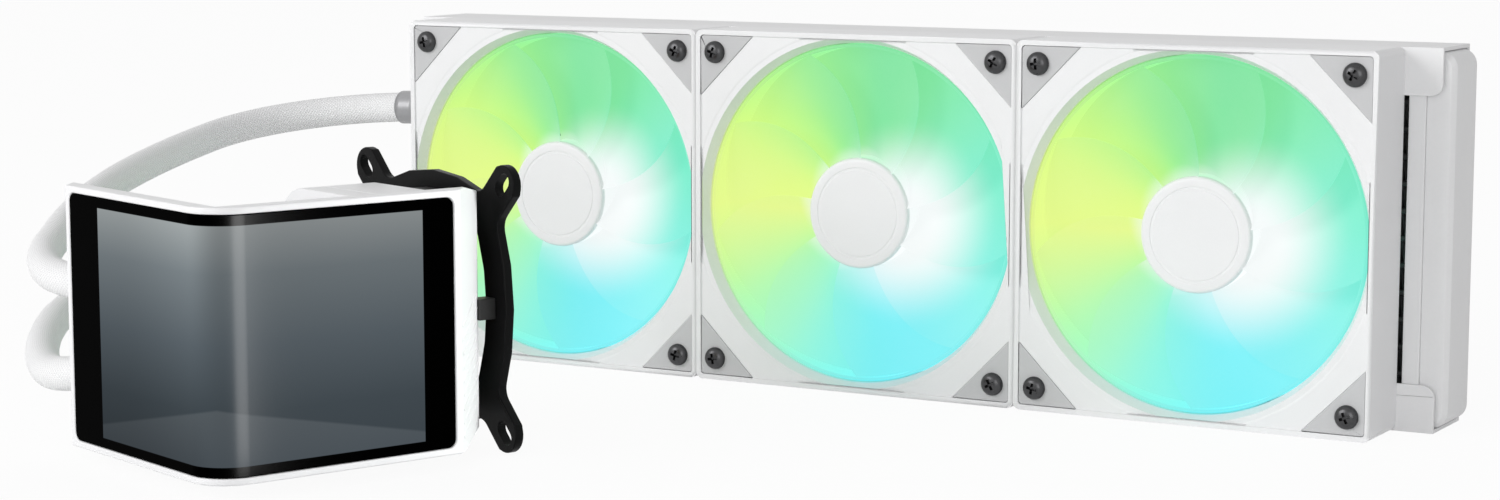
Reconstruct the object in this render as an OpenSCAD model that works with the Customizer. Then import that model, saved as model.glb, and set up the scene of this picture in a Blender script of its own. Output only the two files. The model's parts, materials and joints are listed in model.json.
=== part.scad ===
// Liquid cooler: a three-fan radiator, two hoses and a pump block with a wrap-around display.
// The fans face -Y and +Z is up. The origin is the middle of the footprint, on the floor.

/* [Placing] */
// Middle of the row of fans along X
fan_row_x = 4; // [-20:1:20]
// Front face of the fans along Y
fan_front_y = 96; // [80:1:120]
// Display corner along X
block_x = -62; // [-80:1:-40]
// Display corner along Y
block_y = -152; // [-170:1:-130]
// Turn of the pump block about the upright axis
block_turn = 20.6; // [0:0.1:40]

/* [Fans] */
// Side of each square fan
fan_size = 120; // [118:1:124]
// Depth of each fan
fan_depth = 25; // [25:1:30]
// Distance of the screw holes from the sides of the fan
fan_hole_edge = 7.5; // [7:0.1:8.5]
// Corner radius of the frame
fan_corner_r = 2.5; // [2:0.5:4]
// Width of the raised rim round the front
fan_rim_w = 1.7; // [1:0.1:2]
// Height of the raised rim
fan_rim_h = 0.6; // [0.4:0.1:1]
// Wall between the air duct and the side of the frame
duct_wall = 2.5; // [2.2:0.1:4]
// Radius of the rounded air inlet
inlet_r = 4; // [2:0.5:5]
// Wall left where the rounded inlet meets the side
inlet_wall = 2.1; // [1.8:0.1:2.2]
// Leg of each three-cornered rubber pad
pad_leg = 20.5; // [16:0.5:22]
// Thickness of each rubber pad
pad_t = 1.5; // [1:0.1:2]
// How far a front pad stands out of its seat
pad_proud = 0.3; // [0.1:0.1:0.5]
// Number of struts behind the blades
strut_count = 7; // [5:1:9]
// Width of a strut
strut_w = 3; // [2:0.5:5]
// Depth of a strut
strut_h = 4; // [3:0.5:4.5]
// Diameter of the motor base
motor_base_d = 40; // [38:1:44]
// Thickness of the motor base
motor_base_t = 2.4; // [2:0.1:3]

/* [Rotors] */
// Diameter of the hub
hub_d = 37.2; // [36:0.2:40]
// Wall of the hub
hub_wall = 1.6; // [1.4:0.1:2]
// Thickness of the hub's front
hub_front_t = 1.8; // [1.4:0.1:2.4]
// Rounding of the hub's front edge
hub_edge_r = 1.2; // [0.6:0.2:1.4]
// Free depth in front of hub and blades
mouth_depth = 5; // [4.6:0.2:6]
// Number of blades
blade_count = 9; // [7:1:11]
// Thickness of a blade at mid chord
blade_t = 1.6; // [1.2:0.1:2]
// Angle that a blade spans at the hub
blade_root_chord = 64; // [50:1:70]
// Angle that a blade spans at its tip
blade_tip_chord = 52; // [40:1:56]
// Lead of the blade tip over the root
blade_sweep = 16; // [0:1:24]
// Gap between blade tips and duct
tip_gap = 0.9; // [0.5:0.1:2]
// Gap between blades and struts
blade_gap = 1.2; // [0.8:0.1:2]
// Diameter of the rotor shaft
shaft_d = 3; // [2:0.5:4]
// Outer diameter of the sleeve bearing
bearing_d = 8; // [7:0.5:9]
// Wall of the bearing tube
bearing_tube_t = 1; // [0.8:0.1:1.4]
// Thickness of the magnet ring
magnet_t = 2.4; // [2:0.1:2.8]
// Air gap between stator and magnet ring
air_gap = 0.6; // [0.4:0.1:1]
// Thickness of the light board under the stator
light_board_t = 1.2; // [1:0.1:1.6]
// Number of lights on the board
light_count = 8; // [4:1:12]
// Height of a light
light_h = 1; // [0.6:0.1:1.2]

// Height of the motor base under the bearing
bearing_floor = 1; // [0.8:0.1:1.6]
// Length of the boss that holds the shaft
rotor_boss_len = 3; // [2:0.2:3.6]
// Wall of the boss that holds the shaft
rotor_boss_wall = 1.7; // [1.2:0.1:2]
// Length of the magnet ring
magnet_len = 8.5; // [6:0.5:10]
// Length of the stator
stator_len = 6; // [5:0.2:6.6]
// Width of a stator arm
stator_arm_w = 3.6; // [3:0.2:4.4]
// Width of a stator coil
stator_coil_w = 7; // [5:0.5:7.5]

/* [Radiator] */
// Depth of the radiator
radiator_depth = 27; // [25:0.5:32]
// Thickness of the rails' sheet
rail_t = 1.2; // [1:0.1:2]
// Height of the screw flanges
flange_h = 15; // [12:0.5:18]
// Length of rail past the row of fans
rail_overhang = 12; // [9:0.5:13]
// Rounding of the flange ends
flange_end_r = 4; // [1:0.5:6]
// Distance from the radiator's faces to the core
core_inset = 4; // [3.8:0.1:6]
// Number of flat tubes
tube_count = 13; // [10:1:14]
// Thickness of a flat tube
tube_t = 2; // [1.6:0.1:2.4]
// Wall of a flat tube
tube_wall = 0.4; // [0.3:0.05:0.6]
// Length of one fin wave
fin_pitch = 8; // [6:0.5:12]
// Thickness of the fin sheet
fin_t = 0.3; // [0.2:0.05:0.5]
// Flat top of a fin wave
fin_crest = 0.9; // [0.6:0.1:1.5]
// Bare tube between the row of fans and a header
header_gap = 1; // [0.6:0.1:3]
// Thickness of a header plate
header_t = 5.5; // [3:0.5:7]
// Corner radius of a header plate
header_corner_r = 2; // [1:0.5:3]
// Length of a tank
tank_len = 9; // [8.5:0.5:14]
// Depth of a tank
tank_depth = 23; // [22.8:0.1:24]
// Wall of a tank
tank_wall = 1.8; // [1.2:0.1:1.8]
// Rounding of a tank's top and bottom
tank_r = 5; // [4:0.5:8]
// Bevel along a tank's edges
tank_bevel = 1.6; // [0.6:0.1:2]

/* [Hoses] */
// Outer diameter of a hose
hose_d = 11; // [10:0.5:12]
// Distance between the two radiator ports
port_pitch = 50; // [40:1:60]
// Diameter of a port's flange
port_flange_d = 15; // [14:0.5:17]
// Thickness of a port's flange
port_flange_t = 2; // [1.5:0.1:3]
// Diameter of the barb inside a hose
barb_d = 8; // [7.4:0.2:8.6]
// Bore of ports and elbows
bore_d = 5.6; // [4:0.2:6]
// Outer diameter of a hose collar
collar_d = 12.6; // [11.6:0.2:14]
// Length of a hose collar
collar_len = 6; // [4:0.5:12]

/* [Display] */
// Glass from the corner to the left edge
glass_left = 81.8; // [76:0.2:88]
// Glass from the corner to the right edge
glass_right = 80.4; // [76:0.2:86]
// Height of the glass
glass_h = 73.4; // [70:0.2:78]
// Thickness of the glass
glass_t = 1.6; // [1.2:0.1:2]
// Rounding of the glass corners
glass_corner_r = 2.5; // [1:0.5:4]
// Outer radius of the bend
bend_r = 12; // [8:0.5:16]
// Frame round the glass
display_rim = 2.2; // [1.6:0.1:3]
// How far the glass lies behind the rim
glass_sink = 0.2; // [0.1:0.05:0.4]
// Depth of the frame
frame_depth = 18.5; // [17:0.5:22]
// Flat part of the frame's top and bottom
frame_flat = 5; // [2:0.5:8]
// How far the frame's back edges draw in
frame_taper = 3; // [1:0.2:3.6]
// Thickness of the screen panel
panel_t = 0.8; // [0.5:0.1:1.2]
// Glass border beside the screen
screen_side_border = 11; // [8:0.5:13]
// Glass border above and below the screen
screen_edge_border = 3; // [2.4:0.1:4]
// Ledge that carries the glass
glass_ledge = 1.6; // [1:0.1:1.8]
// Wall between the cavity and the frame's ends
frame_end_wall = 6; // [4:0.5:8]
// Wall between the cavity and the frame's top
frame_top_wall = 5.9; // [5:0.1:7]
// Thickness of the back cover
cover_t = 1.8; // [1.4:0.1:2.5]
// Depth from the frame's back to the cover
cover_sink = 1.1; // [0.5:0.1:2]
// Room between the right display arm and the neck to the pump
neck_room = 6.5; // [4:0.5:12]
// Room between the neck and the end of the left display arm's hollow
neck_end_room = 3; // [2:0.5:10]
// Height of the neck to the pump
neck_h = 54; // [44:1:58]
// Wall of the neck
neck_wall = 2.2; // [1.6:0.1:3]
// Thickness of the circuit boards
board_t = 1.6; // [1:0.1:2]
// Width of the display board
display_board_w = 44; // [30:1:46]
// Height of the display board
display_board_h = 50; // [30:1:56]
// Length of the board posts
post_len = 5; // [3:0.5:7]
// Diameter of the board posts
post_d = 4; // [3:0.5:6]

/* [Pump] */
// Free room between the right display arm and the pump
pump_room = 0.5; // [0.4:0.1:3]
// Distance from the left display face to the pump cap
pump_front = 70; // [60:1:76]
// Width of the pump housing
pump_w = 62; // [58:1:62]
// Height of the pump housing
pump_h = 69; // [66:1:72]
// Corner radius of the pump housing
pump_corner_r = 14; // [8:1:18]
// Depth of the pump cap
cap_depth = 9; // [8:0.5:14]
// Wall of the pump cap
cap_wall = 2.5; // [2:0.1:3]
// Length of the posts under the pump board
pump_post_len = 2.5; // [2:0.1:3.5]
// Depth of the pump housing
housing_depth = 18; // [17:0.5:22]
// Radius of the impeller chamber
chamber_r = 19.5; // [18:0.5:20]
// Depth of the impeller chamber
chamber_depth = 8.5; // [8:0.5:9.5]
// Radius of the rotor can
can_r = 9.5; // [8:0.5:10]
// Wall of the rotor can
can_wall = 1; // [0.8:0.1:1.5]
// End wall of the rotor can
can_end = 2; // [1.5:0.1:3]
// Radius of the stator pocket
stator_pocket_r = 24; // [22:0.5:26]
// Wall between stator pocket and chamber
chamber_wall = 1.2; // [1:0.1:2]
// Wall between stator pocket and water channel
channel_wall = 2; // [1.5:0.1:3]
// Radius of the impeller disc
impeller_r = 17.5; // [15:0.5:18]
// Thickness of the impeller disc
impeller_t = 1.4; // [1:0.1:2]
// Number of impeller vanes
vane_count = 6; // [4:1:8]
// Height of the vanes
vane_h = 4; // [3:0.5:5]
// Thickness of a vane
vane_t = 1.2; // [0.8:0.1:1.6]
// Free room round the spinning magnet and disc
spin_gap = 0.5; // [0.4:0.1:0.8]
// Diameter of the impeller shaft
pump_shaft_d = 3; // [2:0.5:4]
// Radius of the pump base
base_r = 26; // [25:0.5:27]
// Thickness of the pump base
base_t = 6.5; // [6:0.5:8]
// Radius of the cold plate
cold_plate_r = 24.4; // [24.2:0.1:25.6]
// Thickness of the cold plate's flange
cold_plate_t = 1.8; // [1.5:0.1:2.4]
// How far the contact pad stands out of the cold plate
contact_h = 4.1; // [3.8:0.1:5]
// Free room between the contact pad and the screw heads
contact_room = 1.3; // [0.5:0.1:3]
// Side of the finned square on the cold plate
micro_fin_side = 22; // [18:1:24]
// Height of the fins on the cold plate
micro_fin_h = 3; // [2:0.5:4]
// Spacing of the fins on the cold plate
micro_fin_pitch = 2; // [1.5:0.1:3]
// Free water room round the fins
channel_gap = 1; // [0.5:0.1:2]
// Radius of the seal ring
seal_r = 18.5; // [18:0.1:19]
// Thickness of the seal ring
seal_d = 1.8; // [1.4:0.1:2.2]
// Radius of the circle of cold plate screws
plate_screw_ring_r = 22.2; // [22:0.1:22.6]
// Number of cold plate screws
plate_screw_count = 8; // [6:1:10]
// Distance of the housing screws from the housing's sides
housing_screw_edge = 7; // [6:0.5:7]
// Distance between the two hose elbows
elbow_pitch = 25; // [18:1:30]
// Distance from the housing to the middle of an elbow
elbow_reach = 16; // [12:0.5:20]
// How far an elbow's outlet stands past its round body
elbow_lip = 0.5; // [0.3:0.1:3]
// Diameter of an elbow
elbow_d = 13; // [12:0.5:15]
// Width of the collar round an elbow's foot
elbow_foot_w = 1.5; // [1:0.1:2]
// Thickness of an elbow's foot
elbow_foot_t = 3; // [2:0.2:4]
// Length of the plug that holds an elbow
elbow_plug_len = 3; // [2:0.2:5]

/* [Bracket] */
// Distance between neighbouring bracket holes
bracket_pitch = 75; // [75:0.5:80]
// Diameter of the bracket holes
bracket_hole_d = 4.8; // [4:0.1:6]
// Radius of the ears
ear_r = 6; // [5:0.5:7]
// Thickness of the bracket
bracket_t = 3; // [2:0.2:4]
// Width of the bowed bars
bar_w = 11; // [8:0.5:12]
// How far the bars bow out past the line of holes
bar_bow = 1.8; // [0:0.2:4]
// Radius of the bowed bars
bar_r = 68; // [50:1:90]
// Rounding between bars and ears
bracket_fillet = 5; // [2:0.5:7]
// How far the bracket lies behind the pump base
bracket_rise = 2.5; // [1.5:0.1:2.7]
// Width of the lugs that hold the bracket
lug_w = 6.4; // [5:0.2:9]
// Thickness of the lugs
lug_t = 3.5; // [2.5:0.5:4]

/* [Screws] */
// Diameter of a fan screw
fan_screw_d = 3.4; // [3:0.1:3.8]
// Head of a fan screw
fan_screw_head_d = 7.6; // [7:0.1:8]
// Height of a fan screw's head
fan_screw_head_h = 2.4; // [2:0.1:3]
// Length of a fan screw past the flange
fan_screw_tip = 2; // [1:0.1:2.4]
// Clearance hole for a fan screw
fan_screw_hole_d = 4.4; // [4.2:0.1:5]
// Tapped hole for a case screw in the back flange
case_hole_d = 3; // [2.6:0.1:3.2]
// Diameter of the small pump screws
pump_screw_d = 2; // [1.6:0.1:2.4]
// Head of a small pump screw
pump_screw_head_d = 3.8; // [3.4:0.1:4]
// Height of a small pump screw's head
pump_screw_head_h = 1.4; // [1:0.1:1.8]
// Wall round a small pump screw
boss_wall = 2; // [1.5:0.1:2.5]
// Grip of a small pump screw past the joint
pump_screw_grip = 4; // [3:0.5:5]

/* [Fits] */
// Gap round a seated part
seat_gap = 0.05; // [0.02:0.01:0.1]
// Gap round a turning shaft
running_gap = 0.03; // [0.01:0.01:0.08]
// Gap round a part dropped into a pocket
pocket_gap = 0.15; // [0.1:0.05:0.3]

/* [Hidden] */
$fn = 64;
eps = 0.01;
over = 1;
fan_count = 3;
hose_sides = 12;
blade_rows = 5;
blade_cols = 6;
// Thickness left at a blade's edges, as a share of the middle
blade_edge = 0.3;
// Extra fall of a blade near its front edge
blade_camber = 0.35;
// Small free room behind a part that turns or ends short
end_gap = 0.4;
// How far a strut runs into the motor base
strut_bite = 1.2;

// Route of the upper hose between its two collars
upper_route = [
    [-219.6, 133.2, 84.1], [-237.6, 124.4, 82.3], [-250.3, 109, 79.9], [-255.4, 89.7, 77.2],
    [-254.2, 69.7, 74.4], [-251.3, 49.8, 71.5], [-247.1, 30.2, 68.6], [-241.7, 11, 65.6],
    [-235, -7.9, 62.1], [-227.1, -26.1, 58.2], [-218, -43.7, 53.9], [-207.6, -60.6, 49.8],
    [-192.3, -73.3, 46.8], [-172.9, -78.5, 45.9], [-153.2, -75.3, 47.8], [-136.9, -64.4, 52.4]
];
// Route of the lower hose between its two collars
lower_route = [
    [-219.4, 131.5, 34.3], [-236.4, 120.9, 32.9], [-247.8, 104.3, 31.3], [-253.8, 85, 29.7],
    [-257.1, 65.1, 28.3], [-257.8, 44.9, 27.3], [-255.7, 24.8, 26.3], [-251, 5.1, 25],
    [-243.7, -13.7, 23.1], [-233.9, -31.2, 20.4], [-222, -47.3, 17.3], [-207.9, -61.7, 15],
    [-191.6, -73.6, 15], [-172.4, -78.6, 17.9], [-153.2, -75.3, 23], [-137, -64.5, 28.3]
];

// Fan sizes, along the fan axis from its back face
face_z = fan_depth - fan_rim_h;
duct_r = fan_size / 2 - duct_wall;
inlet_half = fan_size / 2 - inlet_wall;
seat_side = fan_size - 2 * fan_rim_w;
seat_corner_r = fan_corner_r / 2;
pad_front_z = face_z - pad_t + pad_proud;
strut_from = motor_base_d / 2 - strut_bite;
strut_to = duct_r + duct_wall / 3;
hub_top = fan_depth - mouth_depth;
hub_back = strut_h + blade_gap;
hub_r = hub_d / 2;
hub_bore_r = hub_r - hub_wall;
tip_r = duct_r - tip_gap;
tube_out_r = bearing_d / 2 + bearing_tube_t;
rotor_boss_r = shaft_d / 2 + rotor_boss_wall;
bearing_top = hub_top - hub_front_t - rotor_boss_len - end_gap;
magnet_out_r = hub_bore_r - seat_gap;
magnet_in_r = magnet_out_r - magnet_t;
magnet_back = hub_back + end_gap;
stator_r = magnet_in_r - air_gap;
stator_back = motor_base_t + light_board_t + light_h + end_gap;
light_board_r = hub_bore_r;
fan_hole_half = fan_size / 2 - fan_hole_edge;

// Radiator places
row_left = fan_row_x - fan_count * fan_size / 2;
row_right = fan_row_x + fan_count * fan_size / 2;
back_y = fan_front_y + fan_depth;
radiator_mid_y = back_y + radiator_depth / 2;
mid_z = fan_size / 2;
core_h = fan_size - 2 * rail_t;
core_depth = radiator_depth - 2 * core_inset;
fin_h = (core_h - tube_count * tube_t) / (tube_count + 1);
tube_pitch = fin_h + tube_t;
fin_waves = floor((row_right - row_left) / fin_pitch);
fin_len = fin_waves * fin_pitch;
fin_lean = atan(fin_h / (fin_pitch / 2 - fin_crest));
fin_turn = fin_t / 2 * tan(fin_lean / 2);
header_in = header_gap;
header_out = header_gap + header_t;
tank_end = header_out + tank_len;
tube_stick = 1;
tank_h = core_h - 2 * pocket_gap;
header_depth = radiator_depth - 2 * rail_t - 2 * pocket_gap;
port_x = row_left - tank_end;
collar_x = port_x - port_flange_t;
hose_x = collar_x - collar_len;

// Pump block places: x along the right display face, y along the left one
block_z = bracket_pitch / 2 + ear_r;
frame_h = glass_h + 2 * display_rim;
left_face = glass_left + display_rim;
right_face = glass_right + display_rim;
glass_back = glass_sink + glass_t;
panel_front = glass_back + seat_gap;
panel_back = panel_front + panel_t;
screen_h = glass_h - 2 * screen_edge_border;
screen_left = glass_left - screen_side_border;
screen_right = glass_right - screen_side_border;
ledge_h = glass_h - 2 * glass_ledge;
cavity_left = left_face - frame_end_wall;
cavity_right = right_face - frame_end_wall;
cavity_h = frame_h - 2 * frame_top_wall;
cover_back = frame_depth - cover_sink;
cover_front = cover_back - cover_t;
housing_front = pump_front + cap_depth;
housing_back = housing_front + housing_depth;
chamber_front = housing_back - chamber_depth;
can_front = housing_front + can_end;
base_back = housing_back + base_t;
pump_board_x = pump_front + cap_wall + pump_post_len;
neck_right = frame_depth + neck_room;
neck_left = cavity_left - neck_end_room;
neck_w = neck_left - neck_right;
neck_mid = (neck_left + neck_right) / 2;
pump_side = frame_depth + pump_room + pump_w / 2;
housing_side = pump_side + pump_w / 2;
elbow_x = housing_front + housing_depth / 2;
elbow_y = housing_side + elbow_reach;
elbow_out = elbow_d / 2 + elbow_lip;
elbow_collar_x = elbow_x - elbow_out;
elbow_hose_x = elbow_collar_x - collar_len;
bracket_front = base_back + bracket_rise;
contact_r = plate_screw_ring_r - pump_screw_head_d / 2 - contact_room;
boss_post_off = display_board_w / 2 - post_d;
boss_post_up = display_board_h / 2 - post_d;

// Helpers

module rounded_rect(w, h, r) {
    square([w - 2 * r, h], center = true);
    square([w, h - 2 * r], center = true);
    for (x = [-1, 1], y = [-1, 1])
        translate([x * (w / 2 - r), y * (h / 2 - r)]) circle(r);
}

module ring(outer_r, inner_r) {
    difference() {
        circle(outer_r);
        circle(inner_r);
    }
}

module tube(outer_r, inner_r, len) {
    difference() {
        cylinder(r = outer_r, h = len);
        translate([0, 0, -over]) cylinder(r = inner_r, h = len + 2 * over);
    }
}

// Fan number i, with its axis along the children's z and its back face at z = 0
module at_fan(i) {
    fan_x = fan_row_x + (i - (fan_count - 1) / 2) * fan_size;
    translate([fan_x, back_y, mid_z]) rotate([90, 0, 0]) children();
}

module at_fan_corners() {
    for (k = [0:3]) rotate(90 * k) children();
}

// Block frame: x runs back along the right display face, y to the left along the other
module in_block() {
    translate([block_x, block_y, 0]) rotate(90 - block_turn) children();
}

// Pump axis: the children's z runs from the display to the cold plate
module on_pump(depth) {
    in_block() translate([depth, pump_side, block_z]) rotate([0, 90, 0]) children();
}

function block_point(x, y, z) = [
    block_x + x * sin(block_turn) - y * cos(block_turn),
    block_y + x * cos(block_turn) + y * sin(block_turn),
    z
];

// Hoses

function unit(v) = v / norm(v);

// A tube of given diameter along points, cut square to the two end directions
module swept_tube(points, first_way, last_way, d, sides) {
    last = len(points) - 1;
    ways = [
        for (i = [0:last])
            i == 0 ? first_way : i == last ? last_way : unit(points[i + 1] - points[i - 1])
    ];
    rings = [
        for (i = [0:last])
            let (across = unit(cross(ways[i], [0, 0, 1])))
            let (up = cross(across, ways[i]))
            for (k = [0:sides - 1])
                points[i] + d / 2 * (cos(360 * k / sides) * across + sin(360 * k / sides) * up)
    ];
    walls = [
        for (i = [0:last - 1], k = [0:sides - 1])
            let (a = i * sides + k, b = i * sides + (k + 1) % sides)
            each [[a, b, b + sides], [a, b + sides, a + sides]]
    ];
    first_cap = [for (k = [sides - 1:-1:0]) k];
    last_cap = [for (k = [0:sides - 1]) last * sides + k];
    polyhedron(rings, concat(walls, [first_cap, last_cap]));
}

module hose(side, route) {
    port_point = [hose_x, radiator_mid_y, mid_z + side * port_pitch / 2];
    elbow_point = block_point(elbow_hose_x, elbow_y, block_z + side * elbow_pitch / 2);
    into_elbow = [sin(block_turn), cos(block_turn), 0];
    color("white")
        swept_tube(concat([port_point], route, [elbow_point]), [-1, 0, 0], into_elbow, hose_d, hose_sides);
}

// A barbed nozzle along z: it passes the collar and ends flush with it
module barb() {
    tube(barb_d / 2, bore_d / 2, collar_len);
}

module collar() {
    tube(collar_d / 2, barb_d / 2 + seat_gap, collar_len);
}

module at_port(side, x) {
    translate([x, radiator_mid_y, mid_z + side * port_pitch / 2]) rotate([0, -90, 0]) children();
}

module port(side) {
    color("silver") {
        at_port(side, port_x) tube(port_flange_d / 2, bore_d / 2, port_flange_t);
        at_port(side, collar_x) barb();
        at_port(side, port_x + tank_wall) tube(barb_d / 2 - seat_gap, bore_d / 2, tank_wall);
    }
}

module radiator_collars() {
    color("gainsboro")
        for (side = [-1, 1]) at_port(side, collar_x) collar();
}

module at_elbow(side) {
    in_block() translate([elbow_x, 0, block_z + side * elbow_pitch / 2]) children();
}

// The children's z runs out of the housing
module at_elbow_inlet(side, y) {
    at_elbow(side) translate([0, y, 0]) rotate([-90, 0, 0]) children();
}

// The children's z runs towards the hose
module at_elbow_outlet(side, x) {
    at_elbow(side) translate([-x, elbow_y, 0]) rotate([0, -90, 0]) children();
}

module elbow(side) {
    plug_y = housing_side - elbow_plug_len;
    color("white") difference() {
        union() {
            at_elbow_inlet(side, housing_side) cylinder(r = elbow_d / 2 + elbow_foot_w, h = elbow_foot_t);
            at_elbow_inlet(side, housing_side) cylinder(d = elbow_d, h = elbow_reach);
            at_elbow_inlet(side, plug_y) cylinder(r = barb_d / 2 - seat_gap, h = elbow_plug_len + eps);
            at_elbow_outlet(side, 0) sphere(d = elbow_d);
            at_elbow_outlet(side, 0) cylinder(d = elbow_d, h = elbow_out);
            at_elbow_outlet(side, elbow_out - eps) cylinder(d = barb_d, h = collar_len + eps);
        }
        at_elbow_inlet(side, plug_y - over) cylinder(d = bore_d, h = elbow_reach + elbow_plug_len + over);
        at_elbow_outlet(side, 0) sphere(d = bore_d);
        at_elbow_outlet(side, 0) cylinder(d = bore_d, h = elbow_out + collar_len + over);
    }
}

module pump_collars() {
    color("gainsboro")
        for (side = [-1, 1])
            at_elbow_outlet(side, elbow_out) collar();
}

// Radiator

module flange(y) {
    rail_len = row_right - row_left + 2 * rail_overhang;
    translate([fan_row_x, y + rail_t, 0]) rotate([90, 0, 0]) linear_extrude(rail_t)
        intersection() {
            rounded_rect(rail_len, 2 * flange_h, flange_end_r);
            translate([-rail_len / 2, 0]) square([rail_len, flange_h]);
        }
}

module side_rail() {
    rail_len = row_right - row_left + 2 * rail_overhang;
    difference() {
        union() {
            translate([fan_row_x - rail_len / 2, back_y, 0]) cube([rail_len, radiator_depth, rail_t]);
            flange(back_y);
            flange(back_y + radiator_depth - rail_t);
        }
        for (i = [0:fan_count - 1], side = [-1, 1])
            at_fan(i) translate([side * fan_hole_half, -fan_hole_half, 0]) {
                translate([0, 0, -rail_t - over])
                    cylinder(d = fan_screw_d + 2 * seat_gap, h = rail_t + 2 * over);
                translate([0, 0, -radiator_depth - over])
                    cylinder(d = case_hole_d, h = rail_t + 2 * over);
            }
    }
}

module bottom_rail() {
    color("whitesmoke") side_rail();
}

module top_rail() {
    color("whitesmoke") translate([0, 0, fan_size]) mirror([0, 0, 1]) side_rail();
}

module tube_outline(gap) {
    w = core_depth + 2 * gap;
    t = tube_t + 2 * gap;
    square([w - t, t], center = true);
    for (s = [-1, 1]) translate([s * (w - t) / 2, 0]) circle(d = t);
}

// The children's z runs along +X, their x along +Y
module across_core(x, k) {
    z = mid_z + (k - (tube_count - 1) / 2) * tube_pitch;
    translate([x, radiator_mid_y, z]) rotate([90, 0, 90]) children();
}

module core_tubes() {
    x0 = row_left - header_out - tube_stick;
    tube_len = row_right + header_out + tube_stick - x0;
    color("dimgray")
        for (k = [0:tube_count - 1])
            across_core(x0, k) linear_extrude(tube_len) difference() {
                tube_outline(0);
                tube_outline(-tube_wall);
            }
}

// One folded sheet: flat crests joined by leaning legs of even thickness
module fin_strip() {
    half = fin_pitch / 2;
    upper = [
        for (i = [0:fin_waves - 1])
            let (x = i * fin_pitch)
            each [
                [x + fin_turn, fin_t], [x + fin_crest - fin_turn, fin_t],
                [x + half - fin_turn, fin_h], [x + half + fin_crest + fin_turn, fin_h]
            ]
    ];
    lower = [
        for (i = [fin_waves - 1:-1:0])
            let (x = i * fin_pitch)
            each [
                [x + half + fin_crest - fin_turn, fin_h - fin_t], [x + half + fin_turn, fin_h - fin_t],
                [x + fin_crest + fin_turn, 0], [x - fin_turn, 0]
            ]
    ];
    polygon(concat(upper, lower));
}

module core_fins() {
    color("gray")
        for (k = [0:tube_count])
            translate([
                fan_row_x - fin_len / 2,
                radiator_mid_y + core_depth / 2,
                rail_t + k * tube_pitch
            ])
                rotate([90, 0, 0]) linear_extrude(core_depth) fin_strip();
}

// A header plate, with its inner face at x = 0
module header() {
    color("whitesmoke") difference() {
        translate([0, radiator_mid_y, mid_z]) rotate([90, 0, 90])
            linear_extrude(header_t) rounded_rect(header_depth, tank_h, header_corner_r);
        for (k = [0:tube_count - 1])
            across_core(-over, k) linear_extrude(header_t + 2 * over) tube_outline(seat_gap);
    }
}

// Side view of a tank, with its outer corners rounded
module tank_outline(inset) {
    len = tank_len - inset;
    h = tank_h - 2 * inset;
    r = tank_r - inset;
    intersection() {
        rounded_rect(2 * len, h, r, $fn = 32);
        translate([0, -h / 2]) square([len, h]);
    }
}

module tank_slice(inset, depth) {
    rotate([90, 0, 0]) linear_extrude(depth, center = true) tank_outline(inset);
}

// A tank that opens towards x = 0, with bevelled outer edges
module tank() {
    room_y = tank_depth - 2 * tank_wall;
    room_z = tank_h - 2 * tank_wall;
    translate([0, radiator_mid_y, mid_z]) difference() {
        hull() {
            tank_slice(0, tank_depth - 2 * tank_bevel);
            tank_slice(tank_bevel, tank_depth);
        }
        translate([-over, -room_y / 2, -room_z / 2])
            cube([tank_len - tank_wall + over, room_y, room_z]);
    }
}

module right_header() {
    translate([row_right + header_in, 0, 0]) header();
}

module left_header() {
    translate([row_left - header_in, 0, 0]) mirror([1, 0, 0]) header();
}

module right_tank() {
    color("white") translate([row_right + header_out, 0, 0]) tank();
}

module left_tank() {
    color("white") difference() {
        translate([row_left - header_out, 0, 0]) mirror([1, 0, 0]) tank();
        for (side = [-1, 1])
            at_port(side, port_x + tank_wall + over) cylinder(d = barb_d, h = tank_wall + 2 * over);
    }
}

// Fans

module pad_outline(gap) {
    corner = seat_side / 2 - gap;
    leg = pad_leg - 2 * gap;
    intersection() {
        rounded_rect(2 * corner, 2 * corner, seat_corner_r);
        polygon([[corner - leg, corner], [corner, corner - leg], [corner, corner]]);
    }
}

module inlet_cut() {
    mouth_r = duct_r + inlet_r;
    intersection() {
        translate([0, 0, face_z - inlet_r]) rotate_extrude() difference() {
            square([mouth_r, inlet_r + fan_rim_h + over]);
            translate([mouth_r, 0]) circle(inlet_r);
            translate([mouth_r - inlet_r / 2, -inlet_r]) square([inlet_r, inlet_r]);
        }
        translate([-inlet_half, -inlet_half, 0]) cube([2 * inlet_half, 2 * inlet_half, 2 * fan_depth]);
    }
}

module fan_frame() {
    color("white") {
        difference() {
            linear_extrude(fan_depth) rounded_rect(fan_size, fan_size, fan_corner_r);
            translate([0, 0, -over]) cylinder(r = duct_r, h = fan_depth + 2 * over);
            inlet_cut();
            translate([0, 0, face_z])
                linear_extrude(fan_rim_h + over) rounded_rect(seat_side, seat_side, seat_corner_r);
            at_fan_corners() {
                translate([0, 0, pad_front_z]) linear_extrude(pad_t) pad_outline(0);
                translate([0, 0, -over]) linear_extrude(pad_t + over) pad_outline(0);
                translate([fan_hole_half, fan_hole_half, -over])
                    cylinder(d = fan_screw_hole_d, h = fan_depth + 2 * over);
            }
        }
        motor_base();
    }
}

// Plate with struts and a tube for the bearing, behind the blades
module motor_base() {
    difference() {
        union() {
            cylinder(d = motor_base_d, h = motor_base_t);
            cylinder(r = tube_out_r, h = bearing_top);
            for (k = [0:strut_count - 1])
                rotate(360 / strut_count * (k + 0.5)) translate([strut_from, -strut_w / 2, 0])
                    cube([strut_to - strut_from, strut_w, strut_h]);
        }
        translate([0, 0, bearing_floor]) cylinder(d = bearing_d, h = bearing_top);
    }
}

module fan_bearing() {
    color("goldenrod") translate([0, 0, bearing_floor])
        tube(bearing_d / 2 - seat_gap, shaft_d / 2 + running_gap, bearing_top - bearing_floor);
}

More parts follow.
